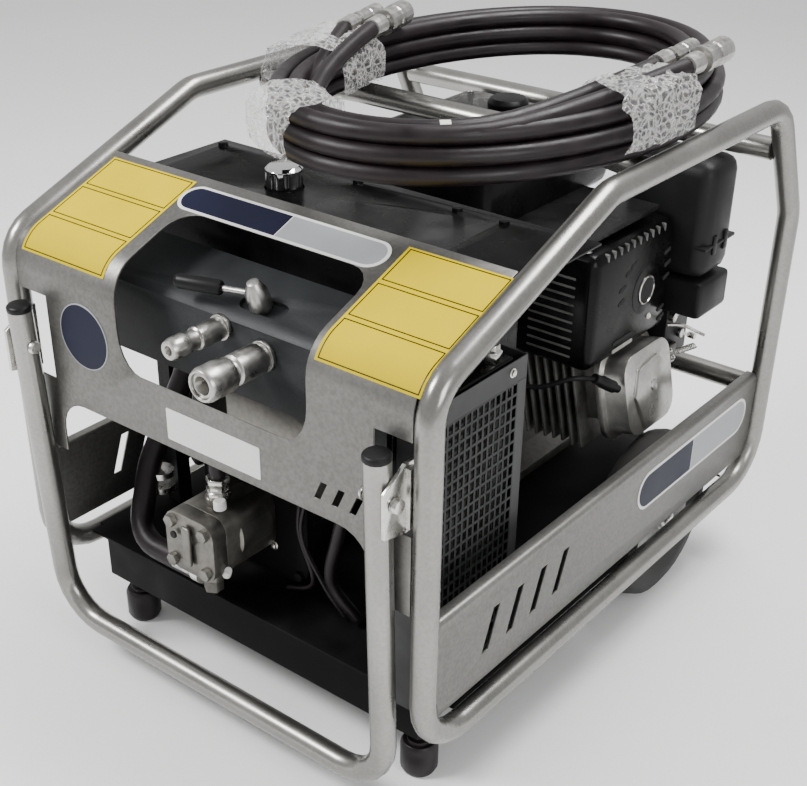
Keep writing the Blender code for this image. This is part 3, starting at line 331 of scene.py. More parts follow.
def mapped(tree, value, low, high, start, end):
    """A value stretched from low and high to start and end."""
    node = add(tree, "MapRange", Value=value, From_Min=low, From_Max=high, To_Min=start, To_Max=end)
    return node.outputs["Result"]


def blended(tree, factor, base, top, blend="MIX"):
    """Two colours mixed by a factor."""
    node = add(tree, "Mix")
    node.data_type = "RGBA"
    node.blend_type = blend
    for value, index in ((factor, 0), (base, 6), (top, 7)):
        feed(tree, value, node.inputs[index])
    return node.outputs[2]


def new_group(name, inputs, outputs):
    group = bpy.data.node_groups.new(name, "ShaderNodeTree")
    for label, kind, value in inputs:
        sock = group.interface.new_socket(name=label, in_out="INPUT", socket_type="NodeSocket" + kind)
        sock.default_value = value
    for label, kind in outputs:
        group.interface.new_socket(name=label, in_out="OUTPUT", socket_type="NodeSocket" + kind)
    return group, group.nodes.new("NodeGroupInput"), group.nodes.new("NodeGroupOutput")


def build_grain_group():
    """Fine bumps, a slow blotch and flecks over the surface."""
    inputs = [("Fine Scale", "Float", 900.0), ("Blotch Scale", "Float", 14.0)]
    outputs = [("Height", "Float"), ("Blotch", "Float"), ("Fleck", "Float")]
    group, enter, end = new_group("Surface grain", inputs, outputs)
    place = add(group, "TexCoord").outputs["Object"]
    fine, slow = enter.outputs["Fine Scale"], enter.outputs["Blotch Scale"]
    rows = (("Height", fine, 3.0), ("Blotch", slow, 5.0), ("Fleck", times(group, fine, 0.33), 2.0))
    for label, scale, detail in rows:
        grain = add(group, "TexNoise", Vector=place, Scale=scale, Detail=detail)
        group.links.new(grain.outputs["Fac"], end.inputs[label])
    return group


def build_wear_group():
    """Rubbed edges and settled dust mixed over a base colour."""
    inputs = [("Base", "Color", (0.5, 0.5, 0.5, 1)), ("Worn", "Color", (0.7, 0.7, 0.7, 1)),
              ("Dust", "Color", (0.35, 0.32, 0.28, 1)), ("Wear", "Float", 0.3),
              ("Dust Amount", "Float", 0.1), ("Blotch", "Float", 0.5)]
    group, enter, end = new_group("Wear and dust", inputs, [("Color", "Color")])
    given = enter.outputs
    surface = add(group, "NewGeometry").outputs
    edge = times(group, mapped(group, surface["Pointiness"], 0.54, 0.66, 0.0, 1.0), given["Wear"])
    edge = times(group, times(group, edge, given["Blotch"]), 1.8)
    upward = add(group, "SeparateXYZ", Vector=surface["Normal"]).outputs["Z"]
    dusty = times(group, times(group, upward, 0.0, "MAXIMUM"), given["Dust Amount"])
    dusty = times(group, dusty, given["Blotch"])
    rubbed = blended(group, edge, given["Base"], given["Worn"])
    group.links.new(blended(group, dusty, rubbed, given["Dust"]), end.inputs["Color"])
    return group


def new_material(name):
    mat = bpy.data.materials.new(name)
    mat.use_nodes = True
    MATS[name] = mat
    return mat.node_tree, mat.node_tree.nodes["Principled BSDF"]


def build_finish(name, colour, rough, metal=0.0, spread=0.08, tint=0.12, grain=900.0, blotch=14.0, bump=0.05,
                 depth=0.0002, wear=0.0, worn=(0.6, 0.6, 0.58), dust=0.0, coat_weight=0.0, fleck=0.0, specular=0.5):
    """A painted, plated, cast or moulded surface with grain, blotches, rubbed edges and dust."""
    tree, shader = new_material(name)
    grains = add(tree, "Group")
    grains.node_tree = GROUPS["grain"]
    fill(tree, grains, Fine_Scale=grain, Blotch_Scale=blotch)
    slow = grains.outputs["Blotch"]
    ramp = add(tree, "ValToRGB", Fac=slow)
    dark, light = ramp.color_ramp.elements
    dark.position, light.position = 0.32, 0.68
    dark.color = (*(c * (1 - tint * 1.6) for c in colour), 1)
    light.color = (*(min(1, c * (1 + tint)) for c in colour), 1)
    base = ramp.outputs["Color"]
    if fleck:
        speck = mapped(tree, grains.outputs["Fleck"], 0.35, 0.65, 1 - fleck, 1 + fleck)
        grey = add(tree, "CombineColor", Red=speck, Green=speck, Blue=speck).outputs["Color"]
        base = blended(tree, 1.0, base, grey, "MULTIPLY")
    wearing = add(tree, "Group")
    wearing.node_tree = GROUPS["wear"]
    fill(tree, wearing, Worn=(*worn, 1), Wear=wear, Dust_Amount=dust, Base=base, Blotch=slow)
    fill(tree, shader, Base_Color=wearing.outputs["Color"], Metallic=metal, Coat_Weight=coat_weight,
         Specular_IOR_Level=specular,
         Roughness=mapped(tree, slow, 0.3, 0.7, max(0.03, rough - spread), min(1.0, rough + spread)))
    if bump:
        bumps = add(tree, "Bump", Strength=bump, Distance=depth, Height=grains.outputs["Height"])
        fill(tree, shader, Normal=bumps.outputs["Normal"])


def build_film():
    """Clear wrapping film with bumped creases, drawn as pale near-opaque lines that are painted glints."""
    tree, shader = new_material("clear_film")
    place = add(tree, "TexCoord").outputs["Object"]
    stray = add(tree, "TexNoise", Vector=place, Scale=38.0, Detail=4.0)
    bent = add(tree, "VectorMath")
    bent.operation = "MULTIPLY_ADD"
    for value, index in ((stray.outputs["Color"], 0), ((0.022, 0.022, 0.022), 1), (place, 2)):
        feed(tree, value, bent.inputs[index])
    crease_glint_cells = add(tree, "TexVoronoi")
    crease_glint_cells.feature = "DISTANCE_TO_EDGE"
    fill(tree, crease_glint_cells, Vector=bent.outputs["Vector"], Scale=115.0)
    crease_gap_and_glint = crease_glint_cells.outputs["Distance"]
    bumps = add(tree, "Bump", Strength=0.9, Distance=0.004, Height=crease_gap_and_glint)
    # The alpha makes the crease lines pale and near-opaque: painted glints of the crinkled film. The bump is the
    # film's real relief.
    fill(tree, shader, Base_Color=(0.62, 0.61, 0.60, 1), Roughness=0.10,
         Alpha=mapped(tree, crease_gap_and_glint, 0.0, 0.22, 0.46, 0.08), Normal=bumps.outputs["Normal"])


def build_finishes():
    GROUPS["grain"], GROUPS["wear"] = build_grain_group(), build_wear_group()
    paint = bpy.context.scene.unit_colours
    silver = tuple(paint.frame_paint)
    # Each row: colour, roughness, metal, roughness spread, tint, grain and blotch scale, bump and its depth, wear,
    # worn colour, dust.
    build_finish("frame_silver", tuple(c * 0.48 for c in silver), 0.29, 0.90, 0.06, 0.07, 700, 9, 0.10, 0.0002,
                 0.35, (0.75, 0.74, 0.7), 0.04, fleck=0.06)
    build_finish("panel_silver", tuple(c * 0.27 for c in silver), 0.40, 0.82, 0.07, 0.09, 620, 6, 0.16, 0.0003,
                 0.5, (0.75, 0.74, 0.70), 0.04, fleck=0.12)
    build_finish("bright_zinc", (0.66, 0.65, 0.62), 0.27, 1.0, 0.10, 0.12, 500, 60, 0.08, 0.0002, 0.2)
    build_finish("coupling_steel", (0.42, 0.41, 0.39), 0.33, 1.0, 0.10, 0.16, 800, 80, 0.10, 0.0002, 0.5,
                 (0.8, 0.79, 0.76))
    build_finish("chrome", (0.78, 0.78, 0.78), 0.10, 1.0, 0.04, 0.05, 600, 40, 0.03)
    build_finish("console_grey", (0.017, 0.019, 0.021), 0.55, 0.1, 0.07, 0.14, 1400, 12, 0.55, 0.0004, 0.3,
                 (0.08, 0.09, 0.10), 0.02, fleck=0.25, specular=0.4)
    build_finish("black_gloss", tuple(paint.tank_paint), 0.27, 0.0, 0.10, 0.30, 500, 18, 0.06, 0.0003, 0.35,
                 (0.04, 0.04, 0.04), 0.002, coat_weight=0.02, specular=0.06)
    build_finish("heat_black", (0.003, 0.003, 0.003), 0.24, 0.0, 0.10, 0.3, 700, 25, 0.12, 0.0003, 0.5,
                 (0.05, 0.05, 0.045), 0.002, specular=0.12)
    build_finish("cast_aluminium", (0.18, 0.172, 0.155), 0.40, 0.92, 0.10, 0.16, 420, 22, 0.38, 0.0005, 0.4,
                 (0.55, 0.54, 0.51), 0.06, fleck=0.10)
    build_finish("bright_casting", (0.60, 0.59, 0.56), 0.34, 0.95, 0.08, 0.10, 420, 22, 0.22, 0.0004, 0.4,
                 (0.8, 0.79, 0.76), 0.03, fleck=0.06)
    build_finish("tray_black", tuple(paint.tank_paint), 0.55, 0.0, 0.10, 0.30, 500, 18, 0.10, 0.0003, 0.35,
                 (0.05, 0.05, 0.05), 0.003, specular=0.06)
    build_finish("dull_casting", (0.16, 0.158, 0.148), 0.50, 0.85, 0.10, 0.2, 420, 26, 0.4, 0.0005, 0.4,
                 (0.4, 0.39, 0.37), 0.12, fleck=0.10)
    build_finish("moulded_black", (0.005, 0.005, 0.0055), 0.44, 0.0, 0.08, 0.2, 1600, 14, 0.35, 0.0003, 0.2,
                 (0.04, 0.04, 0.04), 0.004, specular=0.20)
    # The reddish tint of the hose colour is a painted sheen on dark rubber.
    build_finish("hose_rubber_sheen", tuple(paint.hose_rubber_sheen), 0.42, 0.0, 0.10, 0.25, 700, 30, 0.30, 0.0004, 0.0,
                 dust=0.004, specular=0.30)
    build_finish("tyre_rubber", (0.014, 0.014, 0.014), 0.72, 0.0, 0.1, 0.25, 500, 20, 0.4, 0.0005, 0.2,
                 (0.08, 0.08, 0.075), 0.08)
    build_finish("rim_grey", (0.26, 0.26, 0.25), 0.45, 0.4, 0.08, 0.12, 500, 20, 0.15, 0.0002, 0.4, dust=0.2)
    build_finish("gear_steel", (0.45, 0.45, 0.45), 0.3, 1.0, 0.08, 0.1, 600, 50, 0.08)
    build_finish("label_yellow", tuple(paint.label_yellow), 0.60, 0.0, 0.05, 0.03, 900, 12, 0.03, 0.0001, 0.0,
                 specular=0.04)
    build_finish("label_black", (0.006, 0.006, 0.008), 0.40, 0.0, 0.05, 0.1, 900, 12, 0.02, specular=0.15)
    build_finish("label_navy", (0.006, 0.007, 0.022), 0.40, 0.0, 0.05, 0.1, 900, 12, 0.02, specular=0.12)
    build_finish("label_white", (0.66, 0.65, 0.64), 0.50, 0.0, 0.05, 0.03, 900, 12, 0.03, specular=0.2)
    build_finish("label_grey", (0.30, 0.31, 0.32), 0.45, 0.1, 0.05, 0.04, 900, 12, 0.02, specular=0.2)
    build_finish("paper_tape", (0.74, 0.73, 0.70), 0.6, 0.0, 0.05, 0.05, 500, 20, 0.1)
    build_finish("studio_floor", tuple(paint.floor_colour), 0.85, 0.0, 0.02, 0.01, 60, 2, 0.0)
    build_finish("guard_black", (0.007, 0.008, 0.008), 0.42, 0.1, 0.08, 0.2, 700, 25, 0.12, 0.0003, 0.5,
                 (0.10, 0.10, 0.10), 0.006, specular=0.20)
    build_finish("heat_grey", (0.060, 0.060, 0.058), 0.34, 0.3, 0.08, 0.25, 700, 25, 0.1, 0.0003, 0.5,
                 (0.3, 0.3, 0.29), 0.10)
    build_finish("heat_pale", (0.34, 0.33, 0.31), 0.40, 0.6, 0.08, 0.2, 700, 25, 0.1)
    # Near-black fill for openings: painted shade inside the vents and holes, with real soot only at the outlet.
    build_finish("soot_and_hole_shade", (0.004, 0.004, 0.004), 0.85, 0.0, 0.05, 0.3, 700, 25, 0.1)
    build_film()


# ------------------------ settings
class UnitSizes(bpy.types.PropertyGroup):
    """Sizes a user would change."""
    hose_diameter: FloatProperty(
        name="Hose diameter", description="Outer diameter of the twin hoses", default=0.022, unit="LENGTH")
    hose_turns: FloatProperty(
        name="Hose turns", description="Turns that each hose makes in the coil", default=4.5)
    guard_pitch: FloatProperty(
        name="Guard pitch", description="Spacing of the square holes in the cooler guard", default=0.0114,
        unit="LENGTH")
    lens: FloatProperty(
        name="Lens", description="Focal length of the camera in millimetres", default=59.82)


class UnitColours(bpy.types.PropertyGroup):
    """Colours a user would change."""
    frame_paint: FloatVectorProperty(
        name="Frame paint", description="Silver paint of the frame and panels", subtype="COLOR",
        default=(0.55, 0.54, 0.51), min=0, max=1)
    tank_paint: FloatVectorProperty(
        name="Tank paint", description="Black paint of the tanks and tray", subtype="COLOR",
        default=(0.005, 0.005, 0.005), min=0, max=1)
    # Dark rubber with a reddish tint that paints the hoses' sheen.
    hose_rubber_sheen: FloatVectorProperty(
        name="Hose rubber", description="Cover of the twin hoses", subtype="COLOR",
        default=(0.0090, 0.0052, 0.0066), min=0, max=1)
    label_yellow: FloatVectorProperty(
        name="Label yellow", description="Plain yellow panels on the front", subtype="COLOR",
        default=(0.55, 0.415, 0.0), min=0, max=1)
    floor_colour: FloatVectorProperty(
        name="Floor", description="Pale studio floor", subtype="COLOR", default=(0.94, 0.94, 0.935), min=0, max=1)


# ------------------------ stage
def make_camera(lens):
    az, el, roll = (math.radians(v) for v in (CAMERA_AZIMUTH, CAMERA_ELEVATION, CAMERA_ROLL))
    forward = Vector((-math.sin(az) * math.cos(el), math.cos(az) * math.cos(el), -math.sin(el)))
    right = Vector((math.cos(az), math.sin(az), 0))
    up = right.cross(forward)
    rolled_right = right * math.cos(roll) + up * math.sin(roll)
    rolled_up = up * math.cos(roll) - right * math.sin(roll)
    data = bpy.data.cameras.new("camera")
    data.sensor_width = 36
    data.lens = lens
    data.shift_x, data.shift_y = CAMERA_SHIFT
    data.clip_start = 0.05
    turn = Matrix((rolled_right, rolled_up, -forward)).transposed().to_4x4()
    cam = placed("camera", data)
    cam.matrix_world = Matrix.Translation(CAMERA_PLACE) @ turn
    bpy.context.scene.camera = cam


def soft_light(name, place, target, size, power):
    """An area light of a size and power in watts, aimed at a point."""
    data = bpy.data.lights.new(name, "AREA")
    data.shape = "RECTANGLE"
    data.size, data.size_y = size
    data.energy = power
    aim = (Vector(target) - Vector(place)).to_track_quat("-Z", "Y")
    placed(name, data).matrix_world = Matrix.Translation(place) @ aim.to_matrix().to_4x4()


class UNIT_OT_stage(bpy.types.Operator):
    """Make the camera, the floor and the studio lights"""
    bl_idname = "unit.stage"
    bl_label = "Stage"

    def execute(self, context):
        make_camera(context.scene.unit_sizes.lens)
        build_finishes()
        clear_selection()
        bpy.ops.mesh.primitive_plane_add(size=FLOOR_SIZE, location=(0, 0, 0))
        floor = settle(context.object, "studio_floor")
        coat(floor, "studio_floor")
        world = bpy.data.worlds.new("studio")
        context.scene.world = world
        world.use_nodes = True
        sky = world.node_tree.nodes["Background"]
        sky.inputs["Color"].default_value = (1.0, 1.0, 1.0, 1)
        sky.inputs["Strength"].default_value = SKY_STRENGTH
        soft_light("key", (-1.5, -2.0, 2.7), (0, 0, 0.4), (1.0, 0.8), 120)
        soft_light("top", (0.6, 0.9, 3.0), (0, 0, 0.4), (1.6, 0.9), 100)
        soft_light("fill", (2.7, -1.0, 1.5), (0, 0, 0.35), (1.0, 1.2), 34)
        return {"FINISHED"}


# ------------------------ hoses
COIL_LOW, COIL_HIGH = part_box("hose_coil")
COIL_WIDE = 0.0451


def coil_point(turn, offset, height):
    """A point of the oval coil: turns from the left side, offset outwards, height above its underside."""
    centre = (COIL_LOW + COIL_HIGH) / 2
    a = (COIL_HIGH.x - COIL_LOW.x) / 2 - COIL_WIDE + offset
    b = (COIL_HIGH.y - COIL_LOW.y) / 2 - COIL_WIDE + offset
    t = math.pi + 2 * math.pi * turn
    return Vector((centre.x + a * math.cos(t), centre.y + b * math.sin(t), COIL_LOW.z + height))


def ease(t):
    t = max(0.0, min(1.0, t))
    return t * t * (3 - 2 * t)


def hose_route(layer, start, end, turns, radius, seed):
    """From one coupling down into its layer, round the coil, up to the top layer and out to the other coupling."""
    run = []
    count = int(turns * 60)
    lower = turns - 1.5
    top_offset = radius * (1.05 if layer == 0 else -1.05)
    for k in range(count + 1):
        turn = turns * k / count
        offset = 3.05 * radius * (2 * min(1.0, turn / lower) - 1)
        height = radius * (1 + 1.93 * layer)
        climb = ease((turn - lower + 0.10) / 0.22)
        offset += (top_offset - offset) * climb
        height += (radius * 4.86 - height) * climb
        offset += 0.0022 * noise.noise(Vector((turn * 2.6, seed, layer * 3.1)))
        height += 0.0012 * noise.noise(Vector((seed, turn * 2.9, 1.7)))
        share = ease(turn / 0.20)
        offset = start[0] * (1 - share) + offset * share
        dip = ease((turn / 0.20 - 0.12) / 0.85)
        height = (start[1] - COIL_LOW.z) * (1 - dip) + height * dip
        left = turns - turn
        share = ease(left / 0.14)
        offset = end[0] * (1 - share) + offset * share
        dip = ease((left / 0.14 - 0.10) / 0.85)
        height = (end[1] - COIL_LOW.z) * (1 - dip) + height * dip
        run.append(coil_point(turn, offset, height))
    return run


class UNIT_OT_hoses(bpy.types.Operator):
    """Wind the two delivery hoses on top of the frame"""
    bl_idname = "unit.hoses"
    bl_label = "Twin hoses"

    def execute(self, context):
        sizes = context.scene.unit_sizes
        radius = sizes.hose_diameter / 2
        plans = [
            ("hose_pressure", 0, "hose_coupling_male_rear", "hose_coupling_female_front", 1.0),
            ("hose_return", 1, "hose_coupling_female_rear", "hose_coupling_male_front", 7.0),
        ]
        for name, level, first, last, seed in plans:
            head = tail_centre(first)
            foot = tail_centre(last)
            start = (radial_offset(head), head.z)
            end = (radial_offset(foot), foot.z)
            run = hose_route(level, start, end, sizes.hose_turns, radius, seed)
            run = [head, head.lerp(run[3], 0.45) + Z * 0.001] + run[5:-5] + [foot.lerp(run[-4], 0.45), foot]
            run = settle_run(run)
            obj = tube(name, run, radius, "hose_rubber_sheen", 6, True)
            if level == 0:
                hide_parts("hose_coil")
        return {"FINISHED"}


def tail_centre(node):
    """Middle of the hose end of a loose coupling, which is the end nearer the front."""
    points = [v.co for v in NODES[node].data.vertices]
    nearest = min(p.y for p in points)
    ring = [p for p in points if p.y < nearest + 0.012]
    middle = sum(ring, Vector()) / len(ring)
    return Vector((middle.x, nearest + 0.004, middle.z))


def radial_offset(point):
    """How far outside the coil's middle line a point on its long side lies."""
    centre = (COIL_LOW + COIL_HIGH) / 2
    return abs(point.x - centre.x) - (COIL_HIGH.x - COIL_LOW.x) / 2 + COIL_WIDE


def settle_run(points):
    """Evens out the spacing along a run and rounds its joins."""
    pts = [Vector(p) for p in points]
    for _ in range(6):
        inner = [(pts[i - 1] + pts[i] * 2 + pts[i + 1]) / 4 for i in range(1, len(pts) - 1)]
        pts = [pts[0]] + inner + [pts[-1]]
    return pts


# ------------------------ plates
def rounded_outline(width, height, radius, pieces=6):
    """(u, v) points of a rectangle with round corners, about the origin."""
    points = []
    for quarter, (su, sv) in enumerate(((1, 1), (-1, 1), (-1, -1), (1, -1))):
        for k in range(pieces + 1):
            t = math.pi / 2 * (quarter + k / pieces)
            u = su * (width / 2 - radius) + radius * math.cos(t)
            v = sv * (height / 2 - radius) + radius * math.sin(t)
            points.append((u, v))
    return points


def slab(name, outline, place, depth, finish, edge=0.0):
    """A flat plate from (u, v) points: place is (centre, u axis, v axis, outward axis)."""
    centre, u_axis, v_axis, out = (Vector(v) for v in place)
    clear_selection()
    bpy.ops.mesh.primitive_circle_add(vertices=len(outline), radius=1.0, fill_type="NGON")
    obj = bpy.context.object
    for vert, (u, v) in zip(obj.data.vertices, outline):
        vert.co = centre + u_axis * u + v_axis * v
    settle(obj, name)
    edit()
    bpy.ops.mesh.extrude_region_move(TRANSFORM_OT_translate={"value": out * depth})
    leave()
    outward(obj)
    if edge:
        soften(obj, edge)
    return finish_piece(obj, finish, 30)


PANEL_BEND = 0.055
PANEL_FACE = FRONT_Y - 0.009
PANEL_CORNER = Vector((0, PANEL_FACE, 0.61622))


def panel_point(x, along, lift):
    """On the front panel's outer face: along is measured up over the bend from its middle."""
    turn = math.pi / 2 - SLOPE
    half = PANEL_BEND * turn / 2
    back = PANEL_BEND * math.tan(turn / 2)
    if along > half:
        return PANEL_CORNER + X * x + ALONG * (back + along - half) + OUT * lift
    if along < -half:
        return PANEL_CORNER + X * x - Z * (back - half - along) - Y * lift
    t = (along + half) / PANEL_BEND
    spoke = Z * math.sin(t) - Y * math.cos(t)
    return PANEL_CORNER + Vector((x, PANEL_BEND, -back)) + spoke * (PANEL_BEND + lift)


def wrapped_plate(name, across, along, lift, finish):
    """A thin plate that follows the front panel over its bend."""
    clear_selection()
    rows = max(1, int((along[1] - along[0]) / 0.004))
    bpy.ops.mesh.primitive_grid_add(x_subdivisions=1, y_subdivisions=rows, size=1.0)
    obj = settle(bpy.context.object, name)
    for vert in obj.data.vertices:
        x = across[0] + (vert.co.x + 0.5) * (across[1] - across[0])
        d = along[0] + (vert.co.y + 0.5) * (along[1] - along[0])
        vert.co = panel_point(x, d, lift)
    return finish_piece(walled(obj, FILM_AND_PLATE), finish, 30)


class UNIT_OT_plates(bpy.types.Operator):
    """Fit the bare colour plates of the front and side panels"""
    bl_idname = "unit.plates"
    bl_label = "Colour plates"

    def execute(self, context):
        low, high = -0.008, 0.175
        for side, x0, x1 in (("left", -0.309, -0.156), ("right", 0.181, 0.3245)):
            wrapped_plate("yellow_plate_" + side, (x0, x1), (low, high), 0.0006, "label_yellow")
            lines = []
            step = (high - low) / 3
            for row in range(3):
                a0, a1 = low + step * row + 0.003, low + step * (row + 1) - 0.003
                b0, b1 = x0 + 0.004, x1 - 0.004
                rims = (((b0, b1), (a0, a0 + 0.0012)), ((b0, b1), (a1 - 0.0012, a1)),
                        ((b0, b0 + 0.0012), (a0, a1)), ((b1 - 0.0012, b1), (a0, a1)))
                for number, (across, along) in enumerate(rims):
                    label = "rule_%s_%d_%d" % (side, row, number)
                    lines.append(wrapped_plate(label, across, along, 0.0010, "label_black"))
            obj = joined("yellow_rules_" + side, lines)
            finish_piece(obj, "label_black")
        middle = PANEL_CORNER + X * 0.0065 + ALONG * 0.153 + OUT * 0.0002
        place = (middle, X, ALONG, OUT)
        slab("pill_rim", rounded_outline(0.327, 0.046, 0.0228, 10), place, 0.0006, "label_white")
        self.halves("pill", middle, X, ALONG, OUT, 0.317, 0.038, 0.52)
        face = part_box("side_panel_right")[1].x
        middle = Vector((face, 0.236, 0.253))
        outline = rounded_outline(0.330, 0.060, 0.0298, 10)
        slab("side_pill_rim", outline, (middle, Y, Z, X), 0.0006, "label_white")
        self.halves("side_pill", middle, Y, Z, X, 0.321, 0.051, 0.47)
        badge = Vector((-0.198, PANEL_FACE, 0.516))
        turned_plate("badge_rim", badge, -Y, 0.0440, 0.0012, "label_grey")
        turned_plate("badge_disc", badge, -Y, 0.0425, 0.0016, "label_navy")
        pale = (Vector((0.0205, PANEL_FACE, 0.444)), X, Z, -Y)
        slab("pale_plate", rounded_outline(0.155, 0.043, 0.002, 3), pale, 0.0005, "label_white")
        return {"FINISHED"}

    def halves(self, name, middle, u_axis, v_axis, out, width, height, split):
        outline = rounded_outline(width, height, height / 2 - 0.0002, 10)
        cut = -width / 2 + width * split
        dark = [(min(u, cut), v) for u, v in outline]
        pale = [(max(u, cut + 0.002), v) for u, v in outline]
        slab(name + "_dark", trimmed(dark), (middle, u_axis, v_axis, out), 0.0009, "label_navy")
        slab(name + "_pale", trimmed(pale), (middle, u_axis, v_axis, out), 0.0009, "label_grey")


def trimmed(outline):
    """The outline without points that lie on each other."""
    kept = []
    for point in outline:
        if all(abs(point[0] - old[0]) + abs(point[1] - old[1]) > 1e-6 for old in kept):
            kept.append(point)
    return kept


def turned_plate(name, at, direction, radius, depth, finish, sides=48):
    """A round plate with a chamfered rim."""
    rows = [(-0.0002, radius), (depth * 0.7, radius), (depth, radius - depth * 0.3)]
    return finish_piece(turned(name, at, direction, rows, sides), finish)


# ------------------------ cooler
GUARD_ROWS = 23
GUARD_BAR = 0.0019


class UNIT_OT_cooler_guard(bpy.types.Operator):
    """Punch the cooler guard and fit the cooler's head"""
    bl_idname = "unit.cooler_guard"
    bl_label = "Cooler guard"

    def execute(self, context):
        low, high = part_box("cooler_guard")
        face, sheet = high.x, 0.0016
        pitch = context.scene.unit_sizes.guard_pitch
        columns = int((high.y - low.y - 0.014) / pitch)
        y0, z0, z1 = low.y + 0.007, low.z + 0.012, high.z - 0.030
        clear_selection()
        bpy.ops.mesh.primitive_grid_add(x_subdivisions=columns, y_subdivisions=GUARD_ROWS, size=1.0)
        obj = settle(context.object, "guard_mesh")
        for vert in obj.data.vertices:
            u, v = vert.co.x + 0.5, vert.co.y + 0.5
            vert.co = Vector((face - sheet / 2, y0 + u * columns * pitch, z0 + v * (z1 - z0)))
        only(obj)
        edit()
        bpy.ops.mesh.select_mode(type="FACE")
        bpy.ops.mesh.inset(use_individual=True, thickness=GUARD_BAR)
        bpy.ops.mesh.delete(type="FACE")
        leave()
        coat(walled(obj, sheet, 0), "guard_black")
        y_end = y0 + columns * pitch
        parts = [obj]
        bands = [("top", (face - sheet, low.y, z1), (face, high.y, high.z)),
                 ("foot", (face - sheet, low.y, low.z), (face, high.y, z0)),
                 ("front", (face - sheet, low.y, z0), (face, y0, z1)),
                 ("rear", (face - sheet, y_end, z0), (face, high.y, z1)),
                 ("flange", (face - 0.044, high.y - 0.002, low.z), (face - sheet, high.y, high.z)),
                 ("nose", (face - 0.030, low.y, low.z), (face - sheet, low.y + 0.002, high.z)),
                 ("shelf", (face - 0.044, low.y + 0.080, RAIL_TOP), (face - sheet, high.y - 0.002, low.z + 0.003))]
        for name, a, b in bands:
            parts.append(boxed("guard_" + name, a, b, 0.0004, 1))
        obj = joined("cooler_guard_punched", parts)
        finish_piece(obj, "guard_black", 30, ("cooler_guard",))
        for number, (y, z) in enumerate(((low.y + 0.02, high.z - 0.014), (high.y - 0.03, high.z - 0.014),
                                         (high.y - 0.03, low.z + 0.006))):
            hex_bolt("guard_bolt_%d" % number, (face, y, z), X, 0.0045)
        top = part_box("cooler_core")[1].z
        head = boxed("cooler_head", (0.252, low.y + 0.014, top - 0.004), (0.284, high.y - 0.012, top + 0.010),
                     0.005, 3)
        finish_piece(head, "heat_black")
        for number, y in enumerate((low.y + 0.050, high.y - 0.040)):
            rows = [(0, 0.012), (0.004, 0.013), (0.016, 0.013), (0.018, 0.010), (0.024, 0.010)]
            stub = turned("cooler_stub_%d" % number, (0.268, y, top + 0.008), Z, rows, 6)
            finish_piece(soften(stub, 0.0006, 1), "bright_zinc")
            start = Vector((0.268, y, top + 0.028))
            mid = start + Vector((-0.010, 0.0, 0.020))
            run = smooth_run([start, mid, mid + Vector((-0.03, 0.02, 0.006)), mid + Vector((-0.070, 0.05, -0.03))])
            tube("cooler_hose_%d" % number, run, 0.0095, "hose_rubber_sheen")
        return {"FINISHED"}


# ------------------------ engine
LOUVRES = 10


